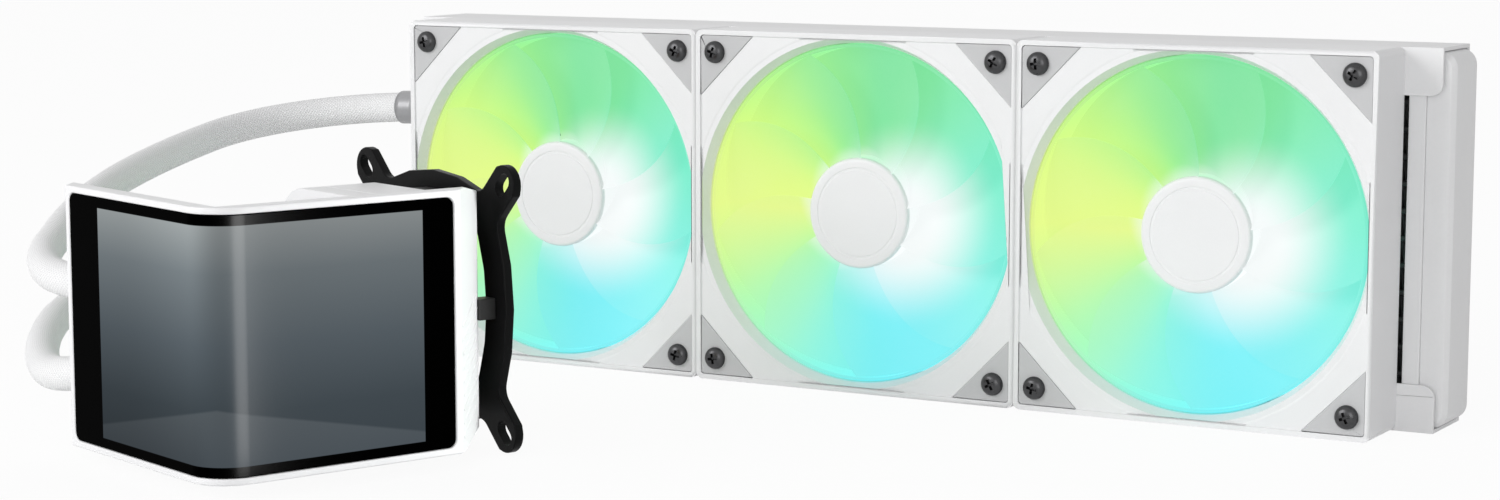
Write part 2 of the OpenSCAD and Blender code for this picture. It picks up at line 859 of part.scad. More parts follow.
module fan_shaft() {
    shaft_back = bearing_floor + end_gap;
    shaft_top = hub_top - hub_front_t / 2;
    color("silver") translate([0, 0, shaft_back]) cylinder(d = shaft_d, h = shaft_top - shaft_back);
}

module fan_magnet() {
    color("darkslategray") translate([0, 0, magnet_back]) tube(magnet_out_r, magnet_in_r, magnet_len);
}

// Laminated core with four poles, whose shoes end short of each other
module stator_core() {
    core_t = 2;
    shoe_t = 1.4;
    shoe_turn = 39;
    wedge = 2 * stator_r;
    ring(tube_out_r + core_t, tube_out_r + seat_gap);
    for (k = [0:3]) rotate(90 * k) {
        translate([tube_out_r + core_t / 2, -stator_arm_w / 2])
            square([stator_r - tube_out_r - (core_t + shoe_t) / 2, stator_arm_w]);
        intersection() {
            ring(stator_r, stator_r - shoe_t);
            polygon([
                [0, 0],
                [wedge * cos(shoe_turn), -wedge * sin(shoe_turn)],
                [wedge * cos(shoe_turn), wedge * sin(shoe_turn)]
            ]);
        }
    }
}

module fan_stator() {
    coil_gap = 1;
    coil_from = tube_out_r + 2 * coil_gap;
    coil_to = stator_r - 2 * coil_gap;
    coil_h = stator_len / 2 - coil_gap;
    color("peru") translate([0, 0, stator_back]) {
        translate([0, 0, coil_gap]) linear_extrude(stator_len - 2 * coil_gap) stator_core();
        for (k = [0:3], z = [0, stator_len - coil_h])
            rotate(90 * k) translate([coil_from, -stator_coil_w / 2, z])
                cube([coil_to - coil_from, stator_coil_w, coil_h]);
    }
}

module fan_light_board() {
    light = 2.6;
    light_edge = 0.6;
    color("darkgreen") translate([0, 0, motor_base_t]) {
        tube(light_board_r, tube_out_r + seat_gap, light_board_t);
        for (k = [0:light_count - 1])
            rotate(360 / light_count * k)
                translate([light_board_r - light - light_edge, -light / 2, light_board_t - eps])
                    cube([light, light, light_h + eps]);
    }
}

// One blade from hub to tip: it sweeps back and falls from front to back
function blade_share(j) = j / blade_rows;
function blade_thick(u) = blade_t * (blade_edge + (1 - blade_edge) * (1 - pow(2 * u - 1, 2)));
function blade_mid_z(u) =
    hub_top - blade_t / 2 - (hub_top - hub_back - blade_t) * (u + blade_camber * u * (1 - u));
function blade_point(j, i, side) =
    let (s = blade_share(j), u = i / blade_cols)
    let (r = hub_r - hub_wall / 2 + s * (tip_r - hub_r + hub_wall / 2))
    let (chord = blade_root_chord + s * (blade_tip_chord - blade_root_chord))
    let (a = blade_sweep * s * s + chord * (u - 0.5))
    [r * cos(a), r * sin(a), blade_mid_z(u) + side * blade_thick(u) / 2];

module blade() {
    n = blade_cols + 1;
    count = n * (blade_rows + 1);
    points = [
        for (side = [1, -1], j = [0:blade_rows], i = [0:blade_cols]) blade_point(j, i, side)
    ];
    skins = [
        for (j = [0:blade_rows - 1], i = [0:blade_cols - 1])
            let (a = j * n + i, b = a + 1, c = a + n, d = c + 1)
            each [
                [a, b, d], [a, d, c],
                [count + a, count + d, count + b], [count + a, count + c, count + d]
            ]
    ];
    root_and_tip = [
        for (i = [0:blade_cols - 1])
            let (a = i, b = i + 1, c = blade_rows * n + i, d = c + 1)
            each [
                [a, count + a, count + b], [a, count + b, b],
                [c, count + d, count + c], [c, d, count + d]
            ]
    ];
    edges = [
        for (j = [0:blade_rows - 1])
            let (a = j * n, b = a + n, c = a + blade_cols, d = b + blade_cols)
            each [
                [a, count + b, count + a], [a, b, count + b],
                [c, count + c, count + d], [c, count + d, d]
            ]
    ];
    polyhedron(points, concat(skins, root_and_tip, edges));
}

module hub() {
    shaft_hole_top = hub_top - hub_front_t / 2;
    boss_back = hub_top - hub_front_t - rotor_boss_len;
    difference() {
        rotate_extrude() {
            translate([0, hub_back]) difference() {
                union() {
                    square([hub_r, hub_top - hub_back - hub_edge_r]);
                    square([hub_r - hub_edge_r, hub_top - hub_back]);
                    translate([hub_r - hub_edge_r, hub_top - hub_back - hub_edge_r]) circle(hub_edge_r);
                }
                translate([rotor_boss_r, -over])
                    square([hub_bore_r - rotor_boss_r, hub_top - hub_back - hub_front_t + over]);
                translate([-over, -over])
                    square([rotor_boss_r + 2 * over, boss_back - hub_back + over]);
            }
        }
        cylinder(r = shaft_d / 2 + seat_gap, h = shaft_hole_top);
    }
}

module fan_rotor() {
    color("honeydew") {
        hub();
        for (k = [0:blade_count - 1]) rotate(360 / blade_count * k) blade();
    }
}

module fan_pads() {
    color("lightgray") at_fan_corners()
        for (z = [0, pad_front_z])
            difference() {
                translate([0, 0, z]) linear_extrude(pad_t) pad_outline(pocket_gap);
                translate([fan_hole_half, fan_hole_half, z - over])
                    cylinder(d = fan_screw_hole_d, h = pad_t + 2 * over);
            }
}

module fan_screws() {
    head_z = pad_front_z + pad_t;
    slot_w = 0.9;
    slot_edge = 1.7;
    slot_len = fan_screw_head_d - 2 * slot_edge;
    slot_depth = fan_screw_head_h / 2;
    tip_z = -rail_t - fan_screw_tip;
    color("dimgray") at_fan_corners() translate([fan_hole_half, fan_hole_half, 0]) {
        difference() {
            union() {
                translate([0, 0, head_z]) cylinder(d = fan_screw_head_d, h = fan_screw_head_h);
                translate([0, 0, tip_z]) cylinder(d = fan_screw_d, h = head_z - tip_z + eps);
            }
            translate([0, 0, head_z + fan_screw_head_h - slot_depth / 2 + over / 2]) {
                cube([slot_len, slot_w, slot_depth + over], center = true);
                cube([slot_w, slot_len, slot_depth + over], center = true);
            }
        }
    }
}

// Display

// Everything deeper than d behind the two outer faces
module display_plan(d, left, right) {
    r = max(bend_r - d, eps);
    difference() {
        translate([d, d]) square([right - d, left - d]);
        difference() {
            translate([d - over, d - over]) square(r + over);
            translate([d + r, d + r]) circle(r);
        }
    }
}

module display_band(d0, d1, left, right) {
    difference() {
        display_plan(d0, left, right);
        display_plan(d1, left + over, right + over);
    }
}

// A plate bent round the corner, with its four outer corners rounded
module wrap_plate(d0, d1, left, right, h, r) {
    intersection() {
        translate([0, 0, block_z - h / 2]) linear_extrude(h) display_band(d0, d1, left, right);
        union() {
            translate([d0 - over, 0, block_z]) rotate([90, 0, 90])
                linear_extrude(bend_r - d0 + over) rounded_rect(2 * left, h, r);
            translate([0, bend_r, block_z]) rotate([90, 0, 0])
                linear_extrude(bend_r - d0 + over) rounded_rect(2 * right, h, r);
        }
    }
}

module wrap_wall(d0, d1, left, right, h) {
    translate([0, 0, block_z - h / 2]) linear_extrude(h) display_band(d0, d1, left, right);
}

// Plan of the frame: two arms with ends cut back at 45 degrees
module frame_plan() {
    reach = frame_depth + over;
    difference() {
        display_band(0, frame_depth, left_face + frame_depth, right_face + frame_depth);
        polygon([[-over, left_face - over], [reach, left_face + reach], [-over, left_face + reach]]);
        polygon([[right_face - over, -over], [right_face + reach, reach], [right_face + reach, -over]]);
    }
}

// The slope that draws the top of the frame in towards its back
module taper_cut() {
    reach = 2 * (left_face + right_face);
    translate([0, 0, frame_h]) intersection() {
        translate([0, reach / 2, 0]) rotate([90, 0, 0]) linear_extrude(reach) taper_wedge(reach);
        translate([-reach / 2, 0, 0]) rotate([90, 0, 90]) linear_extrude(reach) taper_wedge(reach);
    }
}

module taper_wedge(reach) {
    drop = frame_taper / (frame_depth - frame_flat);
    polygon([[frame_flat, 0], [reach, -drop * (reach - frame_flat)], [reach, over], [frame_flat, over]]);
}

module display_frame() {
    color("white") in_block() difference() {
        translate([0, 0, block_z - frame_h / 2]) difference() {
            linear_extrude(frame_h) frame_plan();
            taper_cut();
            translate([0, 0, frame_h]) mirror([0, 0, 1]) taper_cut();
        }
        wrap_plate(-over, glass_back, glass_left + pocket_gap, glass_right + pocket_gap,
            glass_h + 2 * pocket_gap, glass_corner_r + pocket_gap);
        wrap_wall(glass_back - eps, panel_back + pocket_gap, glass_left - glass_ledge,
            glass_right - glass_ledge, ledge_h);
        wrap_wall(panel_back, frame_depth + over, cavity_left, cavity_right, cavity_h);
    }
}

module display_glass() {
    color("black") in_block()
        wrap_plate(glass_sink, glass_back, glass_left, glass_right, glass_h, glass_corner_r);
}

module display_panel() {
    color("slategray") in_block()
        wrap_wall(panel_front, panel_back, screen_left, screen_right, screen_h);
}

module at_display_board_posts() {
    for (y = [-1, 1], z = [-1, 1])
        translate([0, neck_mid + y * boss_post_off, block_z + z * boss_post_up])
            rotate([0, 90, 0]) children();
}

module display_board() {
    board_back = cover_front - post_len;
    color("darkgreen") in_block()
        translate([board_back - board_t, neck_mid - display_board_w / 2, block_z - display_board_h / 2])
            cube([board_t, display_board_w, display_board_h]);
}

module display_back_cover() {
    neck_len = pump_front - cover_back;
    neck_r = 6;
    color("white") in_block() {
        difference() {
            union() {
                wrap_wall(cover_front, cover_back, cavity_left - pocket_gap, cavity_right - pocket_gap,
                    cavity_h - 2 * pocket_gap);
                translate([cover_back - eps, neck_mid, block_z]) rotate([90, 0, 90])
                    linear_extrude(neck_len + eps) rounded_rect(neck_w, neck_h, neck_r);
            }
            translate([cover_back, neck_mid, block_z]) rotate([90, 0, 90])
                linear_extrude(neck_len + over)
                    rounded_rect(neck_w - 2 * neck_wall, neck_h - 2 * neck_wall, neck_r - neck_wall);
        }
        translate([cover_front - post_len, 0, 0]) at_display_board_posts()
            cylinder(d = post_d, h = post_len + eps);
    }
}

// Pump

module pump_outline(inset, len) {
    linear_extrude(len)
        rounded_rect(pump_h - 2 * inset, pump_w - 2 * inset, pump_corner_r - inset);
}

module at_housing_screws() {
    for (x = [-1, 1], y = [-1, 1])
        translate([x * (pump_h / 2 - housing_screw_edge), y * (pump_w / 2 - housing_screw_edge), 0])
            children();
}

module at_plate_screws() {
    for (k = [0:plate_screw_count - 1])
        rotate(360 / plate_screw_count * (k + 0.5)) translate([plate_screw_ring_r, 0, 0]) children();
}

module pump_cap() {
    boss_d = pump_screw_d + 2 * boss_wall;
    board_z = pump_board_x - pump_front;
    color("white") on_pump(pump_front) difference() {
        union() {
            difference() {
                pump_outline(0, cap_depth);
                translate([0, 0, cap_wall]) pump_outline(cap_wall, cap_depth);
            }
            at_housing_screws() cylinder(d = boss_d, h = cap_depth);
            for (k = [0:3]) rotate(90 * k) translate([stator_pocket_r - post_d, 0, 0])
                cylinder(d = post_d, h = board_z);
        }
        at_housing_screws() translate([0, 0, cap_depth - pump_screw_grip])
            cylinder(d = pump_screw_d + 2 * seat_gap, h = pump_screw_grip + over);
    }
}

module pump_board() {
    color("darkgreen") on_pump(pump_board_x) cylinder(r = stator_pocket_r, h = board_t);
}

module pump_housing() {
    pocket_depth = housing_depth - chamber_depth - chamber_wall;
    plug_floor = housing_side - elbow_plug_len - end_gap;
    channel_floor = pump_side + stator_pocket_r + channel_wall;
    color("white") difference() {
        on_pump(housing_front) difference() {
            pump_outline(0, housing_depth);
            difference() {
                translate([0, 0, -over]) cylinder(r = stator_pocket_r, h = pocket_depth + over);
                translate([0, 0, -2 * over]) cylinder(r = can_r + can_wall, h = housing_depth);
            }
            translate([0, 0, can_end]) cylinder(r = can_r, h = housing_depth);
            translate([0, 0, housing_depth - chamber_depth]) cylinder(r = chamber_r, h = housing_depth);
            cylinder(d = pump_shaft_d + 2 * seat_gap, h = housing_depth);
            at_housing_screws() translate([0, 0, -over])
                cylinder(d = pump_screw_d + 2 * seat_gap, h = housing_depth + 2 * over);
            at_plate_screws() translate([0, 0, housing_depth - pump_screw_grip])
                cylinder(d = pump_screw_d + 2 * seat_gap, h = pump_screw_grip + over);
        }
        for (side = [-1, 1]) {
            at_elbow_inlet(side, plug_floor) cylinder(d = barb_d, h = housing_side - plug_floor + over);
            at_elbow_inlet(side, channel_floor) cylinder(d = bore_d, h = housing_side - channel_floor);
        }
    }
}

module pump_stator() {
    ring_t = 1.6;
    coil_w = 6;
    coil_count = 6;
    inner = can_r + can_wall + seat_gap;
    outer = stator_pocket_r - pocket_gap;
    stack_len = housing_depth - chamber_depth - chamber_wall - 2 * end_gap;
    color("peru") on_pump(housing_front + end_gap) linear_extrude(stack_len) {
        ring(inner + ring_t, inner);
        ring(outer, outer - ring_t);
        for (k = [0:coil_count - 1])
            rotate(360 / coil_count * k) translate([inner + ring_t / 2, -coil_w / 2])
                square([outer - inner - ring_t, coil_w]);
    }
}

module impeller_shaft() {
    color("ivory") on_pump(housing_front) cylinder(d = pump_shaft_d, h = housing_depth - end_gap);
}

// A disc with curved vanes, on the magnet that turns in the can
module impeller() {
    rotor_len = chamber_front - can_front;
    nose_wall = 1.5;
    nose_h = 2;
    nose_r = pump_shaft_d / 2 + nose_wall;
    bore_r = pump_shaft_d / 2 + running_gap;
    color("gray") on_pump(can_front + spin_gap) difference() {
        union() {
            cylinder(r = can_r - spin_gap, h = rotor_len + eps);
            translate([0, 0, rotor_len]) {
                cylinder(r = impeller_r, h = impeller_t);
                cylinder(r = nose_r, h = impeller_t + nose_h);
                for (k = [0:vane_count - 1])
                    rotate(360 / vane_count * k) linear_extrude(impeller_t + vane_h) vane();
            }
        }
        translate([0, 0, -over]) cylinder(r = bore_r, h = rotor_len + impeller_t + vane_h + 2 * over);
    }
}

// One curved vane, from near the nose to just inside the rim
module vane() {
    vane_r = 11;
    vane_from = 4;
    rim = 0.4;
    intersection() {
        circle(impeller_r - rim);
        translate([vane_r, vane_from]) intersection() {
            ring(vane_r, vane_r - vane_t);
            translate([-2 * vane_r, 0]) square([2 * vane_r, vane_r]);
        }
    }
}

// Black base between housing and cold plate, with four stepped lugs for the bracket
module pump_base() {
    jet_w = 3;
    groove_half = seal_d / 2 + pocket_gap;
    fin_room = micro_fin_side + 2 * channel_gap;
    bar_in = bracket_pitch / 2 + bar_bow - bar_w;
    lug_reach = bar_in + bar_w / 2;
    color("dimgray") on_pump(housing_back) difference() {
        union() {
            cylinder(r = base_r, h = base_t);
            for (k = [0:3]) rotate(90 * k) {
                translate([0, -lug_w / 2, base_t - lug_t]) cube([lug_reach, lug_w, lug_t]);
                translate([bar_in, -lug_w / 2, base_t - eps])
                    cube([lug_reach - bar_in, lug_w, bracket_rise + eps]);
            }
        }
        translate([-micro_fin_side / 2, -jet_w / 2, -over])
            cube([micro_fin_side, jet_w, base_t + 2 * over]);
        translate([-fin_room / 2, -fin_room / 2, base_t - micro_fin_h - pocket_gap])
            cube([fin_room, fin_room, base_t]);
        translate([0, 0, base_t - seal_d - 2 * seat_gap])
            tube(seal_r + groove_half, seal_r - groove_half, seal_d + over);
        at_plate_screws() translate([0, 0, -over])
            cylinder(d = pump_screw_d + 2 * seat_gap, h = base_t + 2 * over);
    }
}

module cold_plate_seal() {
    color("black") on_pump(base_back - seal_d / 2 - seat_gap)
        rotate_extrude() translate([seal_r, 0]) circle(d = seal_d);
}

module cold_plate() {
    fin_w = micro_fin_pitch / 2;
    fin_count = floor(micro_fin_side / micro_fin_pitch);
    color("chocolate") on_pump(base_back) difference() {
        union() {
            cylinder(r = cold_plate_r, h = cold_plate_t);
            cylinder(r = contact_r, h = cold_plate_t + contact_h);
            for (k = [0:fin_count - 1])
                translate([0, (k - (fin_count - 1) / 2) * micro_fin_pitch, (eps - micro_fin_h) / 2])
                    cube([micro_fin_side, fin_w, micro_fin_h + eps], center = true);
        }
        at_plate_screws() translate([0, 0, -over])
            cylinder(d = pump_screw_d + 2 * seat_gap, h = cold_plate_t + 2 * over);
    }
}

// A small screw: its head lies at z = 0 and its shank runs towards -z
module small_screw(len) {
    socket_d = pump_screw_head_d / 2;
    difference() {
        union() {
            cylinder(d = pump_screw_head_d, h = pump_screw_head_h);
            translate([0, 0, -len]) cylinder(d = pump_screw_d, h = len + eps);
        }
        translate([0, 0, pump_screw_head_h / 2]) cylinder(d = socket_d, h = pump_screw_head_h, $fn = 6);
    }
}

module cold_plate_screws() {
    color("silver") on_pump(base_back + cold_plate_t)
        at_plate_screws() small_screw(cold_plate_t + base_t + pump_screw_grip - end_gap);
}

module housing_screws() {
    color("silver") on_pump(housing_back)
        at_housing_screws() small_screw(housing_depth + pump_screw_grip - end_gap);
}

// Bracket

// One bar, bowed outwards along +x
module bowed_bar() {
    ear_gap = 3;
    middle = bracket_pitch / 2 + bar_bow - bar_r;
    half = bracket_pitch / 2 - ear_r - ear_gap;
    intersection() {
        translate([middle, 0]) ring(bar_r, bar_r - bar_w);
        translate([0, -half]) square([bracket_pitch, 2 * half]);
    }
}

module bracket_ear() {
    leg = 12;
    rotate(45) translate([bracket_pitch / sqrt(2) - leg, -ear_r]) square([leg, 2 * ear_r]);
    translate([bracket_pitch / 2, bracket_pitch / 2]) circle(ear_r);
}

module mounting_bracket() {
    color("black") on_pump(bracket_front) difference() {
        linear_extrude(bracket_t) offset(r = -bracket_fillet, $fn = 32) offset(delta = bracket_fillet)
            for (k = [0:3]) rotate(90 * k) {
                bowed_bar();
                bracket_ear();
            }
        for (k = [0:3]) rotate(90 * k) translate([bracket_pitch / 2, bracket_pitch / 2, -over])
            cylinder(d = bracket_hole_d, h = bracket_t + 2 * over);
    }
}

top_rail();
bottom_rail();
core_tubes();
core_fins();
left_header();
right_header();
left_tank();
right_tank();
port(1);  // upper_port
port(-1);  // lower_port
radiator_collars();
hose(1, upper_route);  // upper_hose
hose(-1, lower_route);  // lower_hose
pump_collars();
elbow(1);  // upper_elbow
elbow(-1);  // lower_elbow
display_frame();
display_glass();
display_panel();
display_board();
display_back_cover();
pump_cap();
pump_housing();
pump_base();
pump_board();
pump_stator();
impeller();
impeller_shaft();
cold_plate();
cold_plate_seal();
cold_plate_screws();
housing_screws();
mounting_bracket();
for (i = [0:fan_count - 1]) {
    at_fan(i) fan_frame();
    at_fan(i) fan_rotor();
    at_fan(i) fan_shaft();
    at_fan(i) fan_magnet();
    at_fan(i) fan_bearing();
    at_fan(i) fan_stator();
    at_fan(i) fan_light_board();
    at_fan(i) fan_pads();
    at_fan(i) fan_screws();
}
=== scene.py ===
# %% [markdown]
# # A liquid cooler, dressed over its CAD frame
# The object is a closed cooling loop: a long finned radiator behind three square fans, two sleeved
# hoses, and a pump block that carries a bent display. The solids come packed from CAD and stay where
# they are. This lesson loads them, sets the camera, and then gives each piece its finished surface.

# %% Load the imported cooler
import json
import math
from functools import partial

import bmesh
import bpy
from mathutils import Matrix, Vector
from mathutils.geometry import interpolate_bezier
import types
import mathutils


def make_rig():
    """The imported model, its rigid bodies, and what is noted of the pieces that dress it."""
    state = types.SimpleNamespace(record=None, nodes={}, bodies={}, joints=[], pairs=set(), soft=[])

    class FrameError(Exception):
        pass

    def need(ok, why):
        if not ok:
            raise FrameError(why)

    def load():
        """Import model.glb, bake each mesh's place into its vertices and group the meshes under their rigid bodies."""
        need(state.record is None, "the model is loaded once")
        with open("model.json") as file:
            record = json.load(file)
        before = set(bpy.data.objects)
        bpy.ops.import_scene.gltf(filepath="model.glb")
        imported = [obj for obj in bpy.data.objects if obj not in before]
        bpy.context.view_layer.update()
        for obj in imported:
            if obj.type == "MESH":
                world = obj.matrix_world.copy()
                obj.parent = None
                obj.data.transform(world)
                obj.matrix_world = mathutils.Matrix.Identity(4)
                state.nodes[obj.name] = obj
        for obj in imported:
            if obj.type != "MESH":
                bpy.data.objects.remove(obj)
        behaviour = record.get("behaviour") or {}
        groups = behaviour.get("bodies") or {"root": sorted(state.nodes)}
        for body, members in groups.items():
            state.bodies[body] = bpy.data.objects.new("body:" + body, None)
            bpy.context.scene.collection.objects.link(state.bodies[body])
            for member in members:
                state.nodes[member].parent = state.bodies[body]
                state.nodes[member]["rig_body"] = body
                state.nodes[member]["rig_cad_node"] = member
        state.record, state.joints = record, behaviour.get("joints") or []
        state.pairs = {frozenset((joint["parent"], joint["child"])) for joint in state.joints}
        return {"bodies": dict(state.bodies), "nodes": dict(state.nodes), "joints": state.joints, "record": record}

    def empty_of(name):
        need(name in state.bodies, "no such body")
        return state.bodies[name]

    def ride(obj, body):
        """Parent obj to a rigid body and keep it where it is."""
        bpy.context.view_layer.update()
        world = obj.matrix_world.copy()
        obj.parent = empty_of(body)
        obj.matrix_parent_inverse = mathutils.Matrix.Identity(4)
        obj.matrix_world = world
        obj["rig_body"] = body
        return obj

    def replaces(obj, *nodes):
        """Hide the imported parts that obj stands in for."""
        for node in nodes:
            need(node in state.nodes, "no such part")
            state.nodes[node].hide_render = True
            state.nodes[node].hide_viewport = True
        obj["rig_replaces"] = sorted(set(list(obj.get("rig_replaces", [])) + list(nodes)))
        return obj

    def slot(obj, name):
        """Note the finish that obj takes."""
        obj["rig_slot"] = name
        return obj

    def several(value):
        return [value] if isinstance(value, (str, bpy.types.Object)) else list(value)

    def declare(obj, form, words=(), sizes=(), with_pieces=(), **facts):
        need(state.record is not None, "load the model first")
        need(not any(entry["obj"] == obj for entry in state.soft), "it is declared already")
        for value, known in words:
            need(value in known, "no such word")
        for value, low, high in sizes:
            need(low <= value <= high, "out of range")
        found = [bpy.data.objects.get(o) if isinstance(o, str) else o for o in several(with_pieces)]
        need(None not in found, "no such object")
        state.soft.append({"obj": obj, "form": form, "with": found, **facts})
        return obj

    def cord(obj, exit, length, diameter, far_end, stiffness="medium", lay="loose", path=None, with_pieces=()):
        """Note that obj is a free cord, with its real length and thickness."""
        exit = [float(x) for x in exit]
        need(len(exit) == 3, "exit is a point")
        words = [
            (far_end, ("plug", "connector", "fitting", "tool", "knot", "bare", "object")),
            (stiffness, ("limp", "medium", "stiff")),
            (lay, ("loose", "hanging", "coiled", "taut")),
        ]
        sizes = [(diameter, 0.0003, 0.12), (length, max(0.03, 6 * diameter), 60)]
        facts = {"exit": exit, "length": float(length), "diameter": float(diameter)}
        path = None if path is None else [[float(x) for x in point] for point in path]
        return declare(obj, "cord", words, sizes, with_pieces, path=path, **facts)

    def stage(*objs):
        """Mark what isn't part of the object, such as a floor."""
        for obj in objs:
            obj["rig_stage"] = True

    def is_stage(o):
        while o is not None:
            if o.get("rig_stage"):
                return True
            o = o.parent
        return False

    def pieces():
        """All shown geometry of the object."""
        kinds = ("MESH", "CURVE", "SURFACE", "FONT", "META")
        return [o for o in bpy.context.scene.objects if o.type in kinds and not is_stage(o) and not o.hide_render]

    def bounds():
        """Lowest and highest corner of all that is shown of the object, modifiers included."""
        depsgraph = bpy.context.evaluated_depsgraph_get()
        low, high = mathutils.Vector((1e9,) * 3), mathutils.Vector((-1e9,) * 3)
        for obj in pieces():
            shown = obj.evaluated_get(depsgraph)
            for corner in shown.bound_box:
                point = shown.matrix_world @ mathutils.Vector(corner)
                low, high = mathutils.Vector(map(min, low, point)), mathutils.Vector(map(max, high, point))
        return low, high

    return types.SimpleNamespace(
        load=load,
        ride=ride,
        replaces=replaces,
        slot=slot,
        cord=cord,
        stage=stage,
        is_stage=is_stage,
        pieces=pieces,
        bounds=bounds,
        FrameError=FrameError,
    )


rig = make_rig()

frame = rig.load()
cad_low, cad_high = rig.bounds()
MM = 0.001
UPWARDS = Vector((0, 0, 1))


def in_mm(point):
    return [round(value / MM, 1) for value in point]


def new_object(name, data):
    thing = bpy.data.objects.new(name, data)
    bpy.context.scene.collection.objects.link(thing)
    return thing


print("nodes:", len(frame["nodes"]), "bodies:", len(frame["bodies"]))
print("CAD box in mm:", in_mm(cad_low), in_mm(cad_high))

# %% [markdown]
# ## The camera
# A product photographer would stand about a metre away with a short telephoto lens, a little above the
# fans and to the right of them. The camera is built from its three axes, so that it has no roll, and the
# lens is given for a 36 mm wide sensor.

# %% Camera
CAMERA_PLACE = Vector((0.47744, -0.78929, 0.17589))
CAMERA_LOOK = Vector((-0.4967, 0.8587, -0.1262)).normalized()
CAMERA_LENS, SENSOR_WIDTH = 72.9, 36.0
NEAREST_SEEN = 0.01


def make_camera():
    data = bpy.data.cameras.new("studio_camera")
    data.sensor_width = SENSOR_WIDTH
    data.lens = CAMERA_LENS
    data.clip_start = NEAREST_SEEN
    camera = new_object("studio_camera", data)
    right = CAMERA_LOOK.cross(UPWARDS).normalized()
    up = right.cross(CAMERA_LOOK)
    turn = Matrix((right, up, -CAMERA_LOOK)).transposed()
    camera.matrix_world = Matrix.Translation(CAMERA_PLACE) @ turn.to_4x4()
    bpy.context.scene.camera = camera
    return camera


camera = make_camera()
print("camera at", [round(v, 3) for v in camera.location], "lens", CAMERA_LENS)

# %% [markdown]
# ## The two hoses
# Each hose is a rubber tube in a white braided sleeve. It leaves a port of the radiator, bends round to
# the front in one loose curve and goes into an elbow of the pump, so both of its ends are held. A curve
# object with a round bevel would do, but a mesh swept along the route can carry a map that the braid
# follows. The route repeats the points of the CAD, and a smooth curve is drawn through them.

# %% Routes of the hoses
HOSE_D = 11.0 * MM
BLOCK_CORNER = Vector((-62.0, -152.0, 0.0)) * MM
BLOCK_TURN = math.radians(20.6)
ALONG_RIGHT = Vector((math.sin(BLOCK_TURN), math.cos(BLOCK_TURN), 0.0))
ALONG_LEFT = Vector((-math.cos(BLOCK_TURN), math.sin(BLOCK_TURN), 0.0))


def block_point(along_right, along_left, height):
    """A place on the pump block, in mm along its two display faces and up from the floor."""
    flat = BLOCK_CORNER + ALONG_RIGHT * (along_right * MM) + ALONG_LEFT * (along_left * MM)
    return Vector((flat.x, flat.y, height * MM))


ELBOW_HOSE_X, ELBOW_Y = 75.0, 97.0
HOSE_ENDS = {
    "upper": ((-199.5, 134.5, 85.0), block_point(ELBOW_HOSE_X, ELBOW_Y, 56.0)),
    "lower": ((-199.5, 134.5, 35.0), block_point(ELBOW_HOSE_X, ELBOW_Y, 31.0)),
}
HOSE_ROUTES = {
    "upper": [(-219.6, 133.2, 84.1), (-237.6, 124.4, 82.3), (-250.3, 109, 79.9), (-255.4, 89.7, 77.2),
              (-254.2, 69.7, 74.4), (-251.3, 49.8, 71.5), (-247.1, 30.2, 68.6), (-241.7, 11, 65.6),
              (-235, -7.9, 62.1), (-227.1, -26.1, 58.2), (-218, -43.7, 53.9), (-207.6, -60.6, 49.8),
              (-192.3, -73.3, 46.8), (-172.9, -78.5, 45.9), (-153.2, -75.3, 47.8), (-136.9, -64.4, 52.4)],
    "lower": [(-219.4, 131.5, 34.3), (-236.4, 120.9, 32.9), (-247.8, 104.3, 31.3), (-253.8, 85, 29.7),
              (-257.1, 65.1, 28.3), (-257.8, 44.9, 27.3), (-255.7, 24.8, 26.3), (-251, 5.1, 25),
              (-243.7, -13.7, 23.1), (-233.9, -31.2, 20.4), (-222, -47.3, 17.3), (-207.9, -61.7, 15),
              (-191.6, -73.6, 15), (-172.4, -78.6, 17.9), (-153.2, -75.3, 23), (-137, -64.5, 28.3)],
}


def smooth_route(side, steps=10):
    """Points of a curve through the route that leaves each end straight along its fitting."""
    start, end = HOSE_ENDS[side]
    spots = [Vector(start) * MM] + [Vector(p) * MM for p in HOSE_ROUTES[side]] + [end]
    pulls = [(spots[i + 1] - spots[i - 1]) / 2 for i in range(1, len(spots) - 1)]
    first = Vector((-1, 0, 0)) * (spots[1] - spots[0]).length
    last = ALONG_RIGHT * (spots[-1] - spots[-2]).length
    pulls = [first] + pulls + [last]
    path = []
    for i in range(len(spots) - 1):
        near, far = spots[i] + pulls[i] / 3, spots[i + 1] - pulls[i + 1] / 3
        path += interpolate_bezier(spots[i], near, far, spots[i + 1], steps + 1)[:-1]
    return path + [spots[-1]]


def route_length(path):
    return sum((b - a).length for a, b in zip(path, path[1:]))


routes = {side: smooth_route(side) for side in HOSE_ROUTES}
for side, path in routes.items():
    print(side, "hose:", len(path), "points,", round(route_length(path) / MM, 1), "mm")

# %% [markdown]
# ### Sweeping a tube
# Along the route a ring of points is carried without twisting, each ring turned by the same small turn as
# the path. The map runs round the hose in one direction and along it in the other, in lengths of the
# hose's own girth, so the braid keeps its size.

# %% Hose meshes


def piece_from(name, bm):
    """A new piece from a drawn bmesh, with all of its faces pointing outwards."""
    bmesh.ops.recalc_face_normals(bm, faces=bm.faces)
    mesh = bpy.data.meshes.new(name)
    bm.to_mesh(mesh)
    bm.free()
    return new_object(name, mesh)


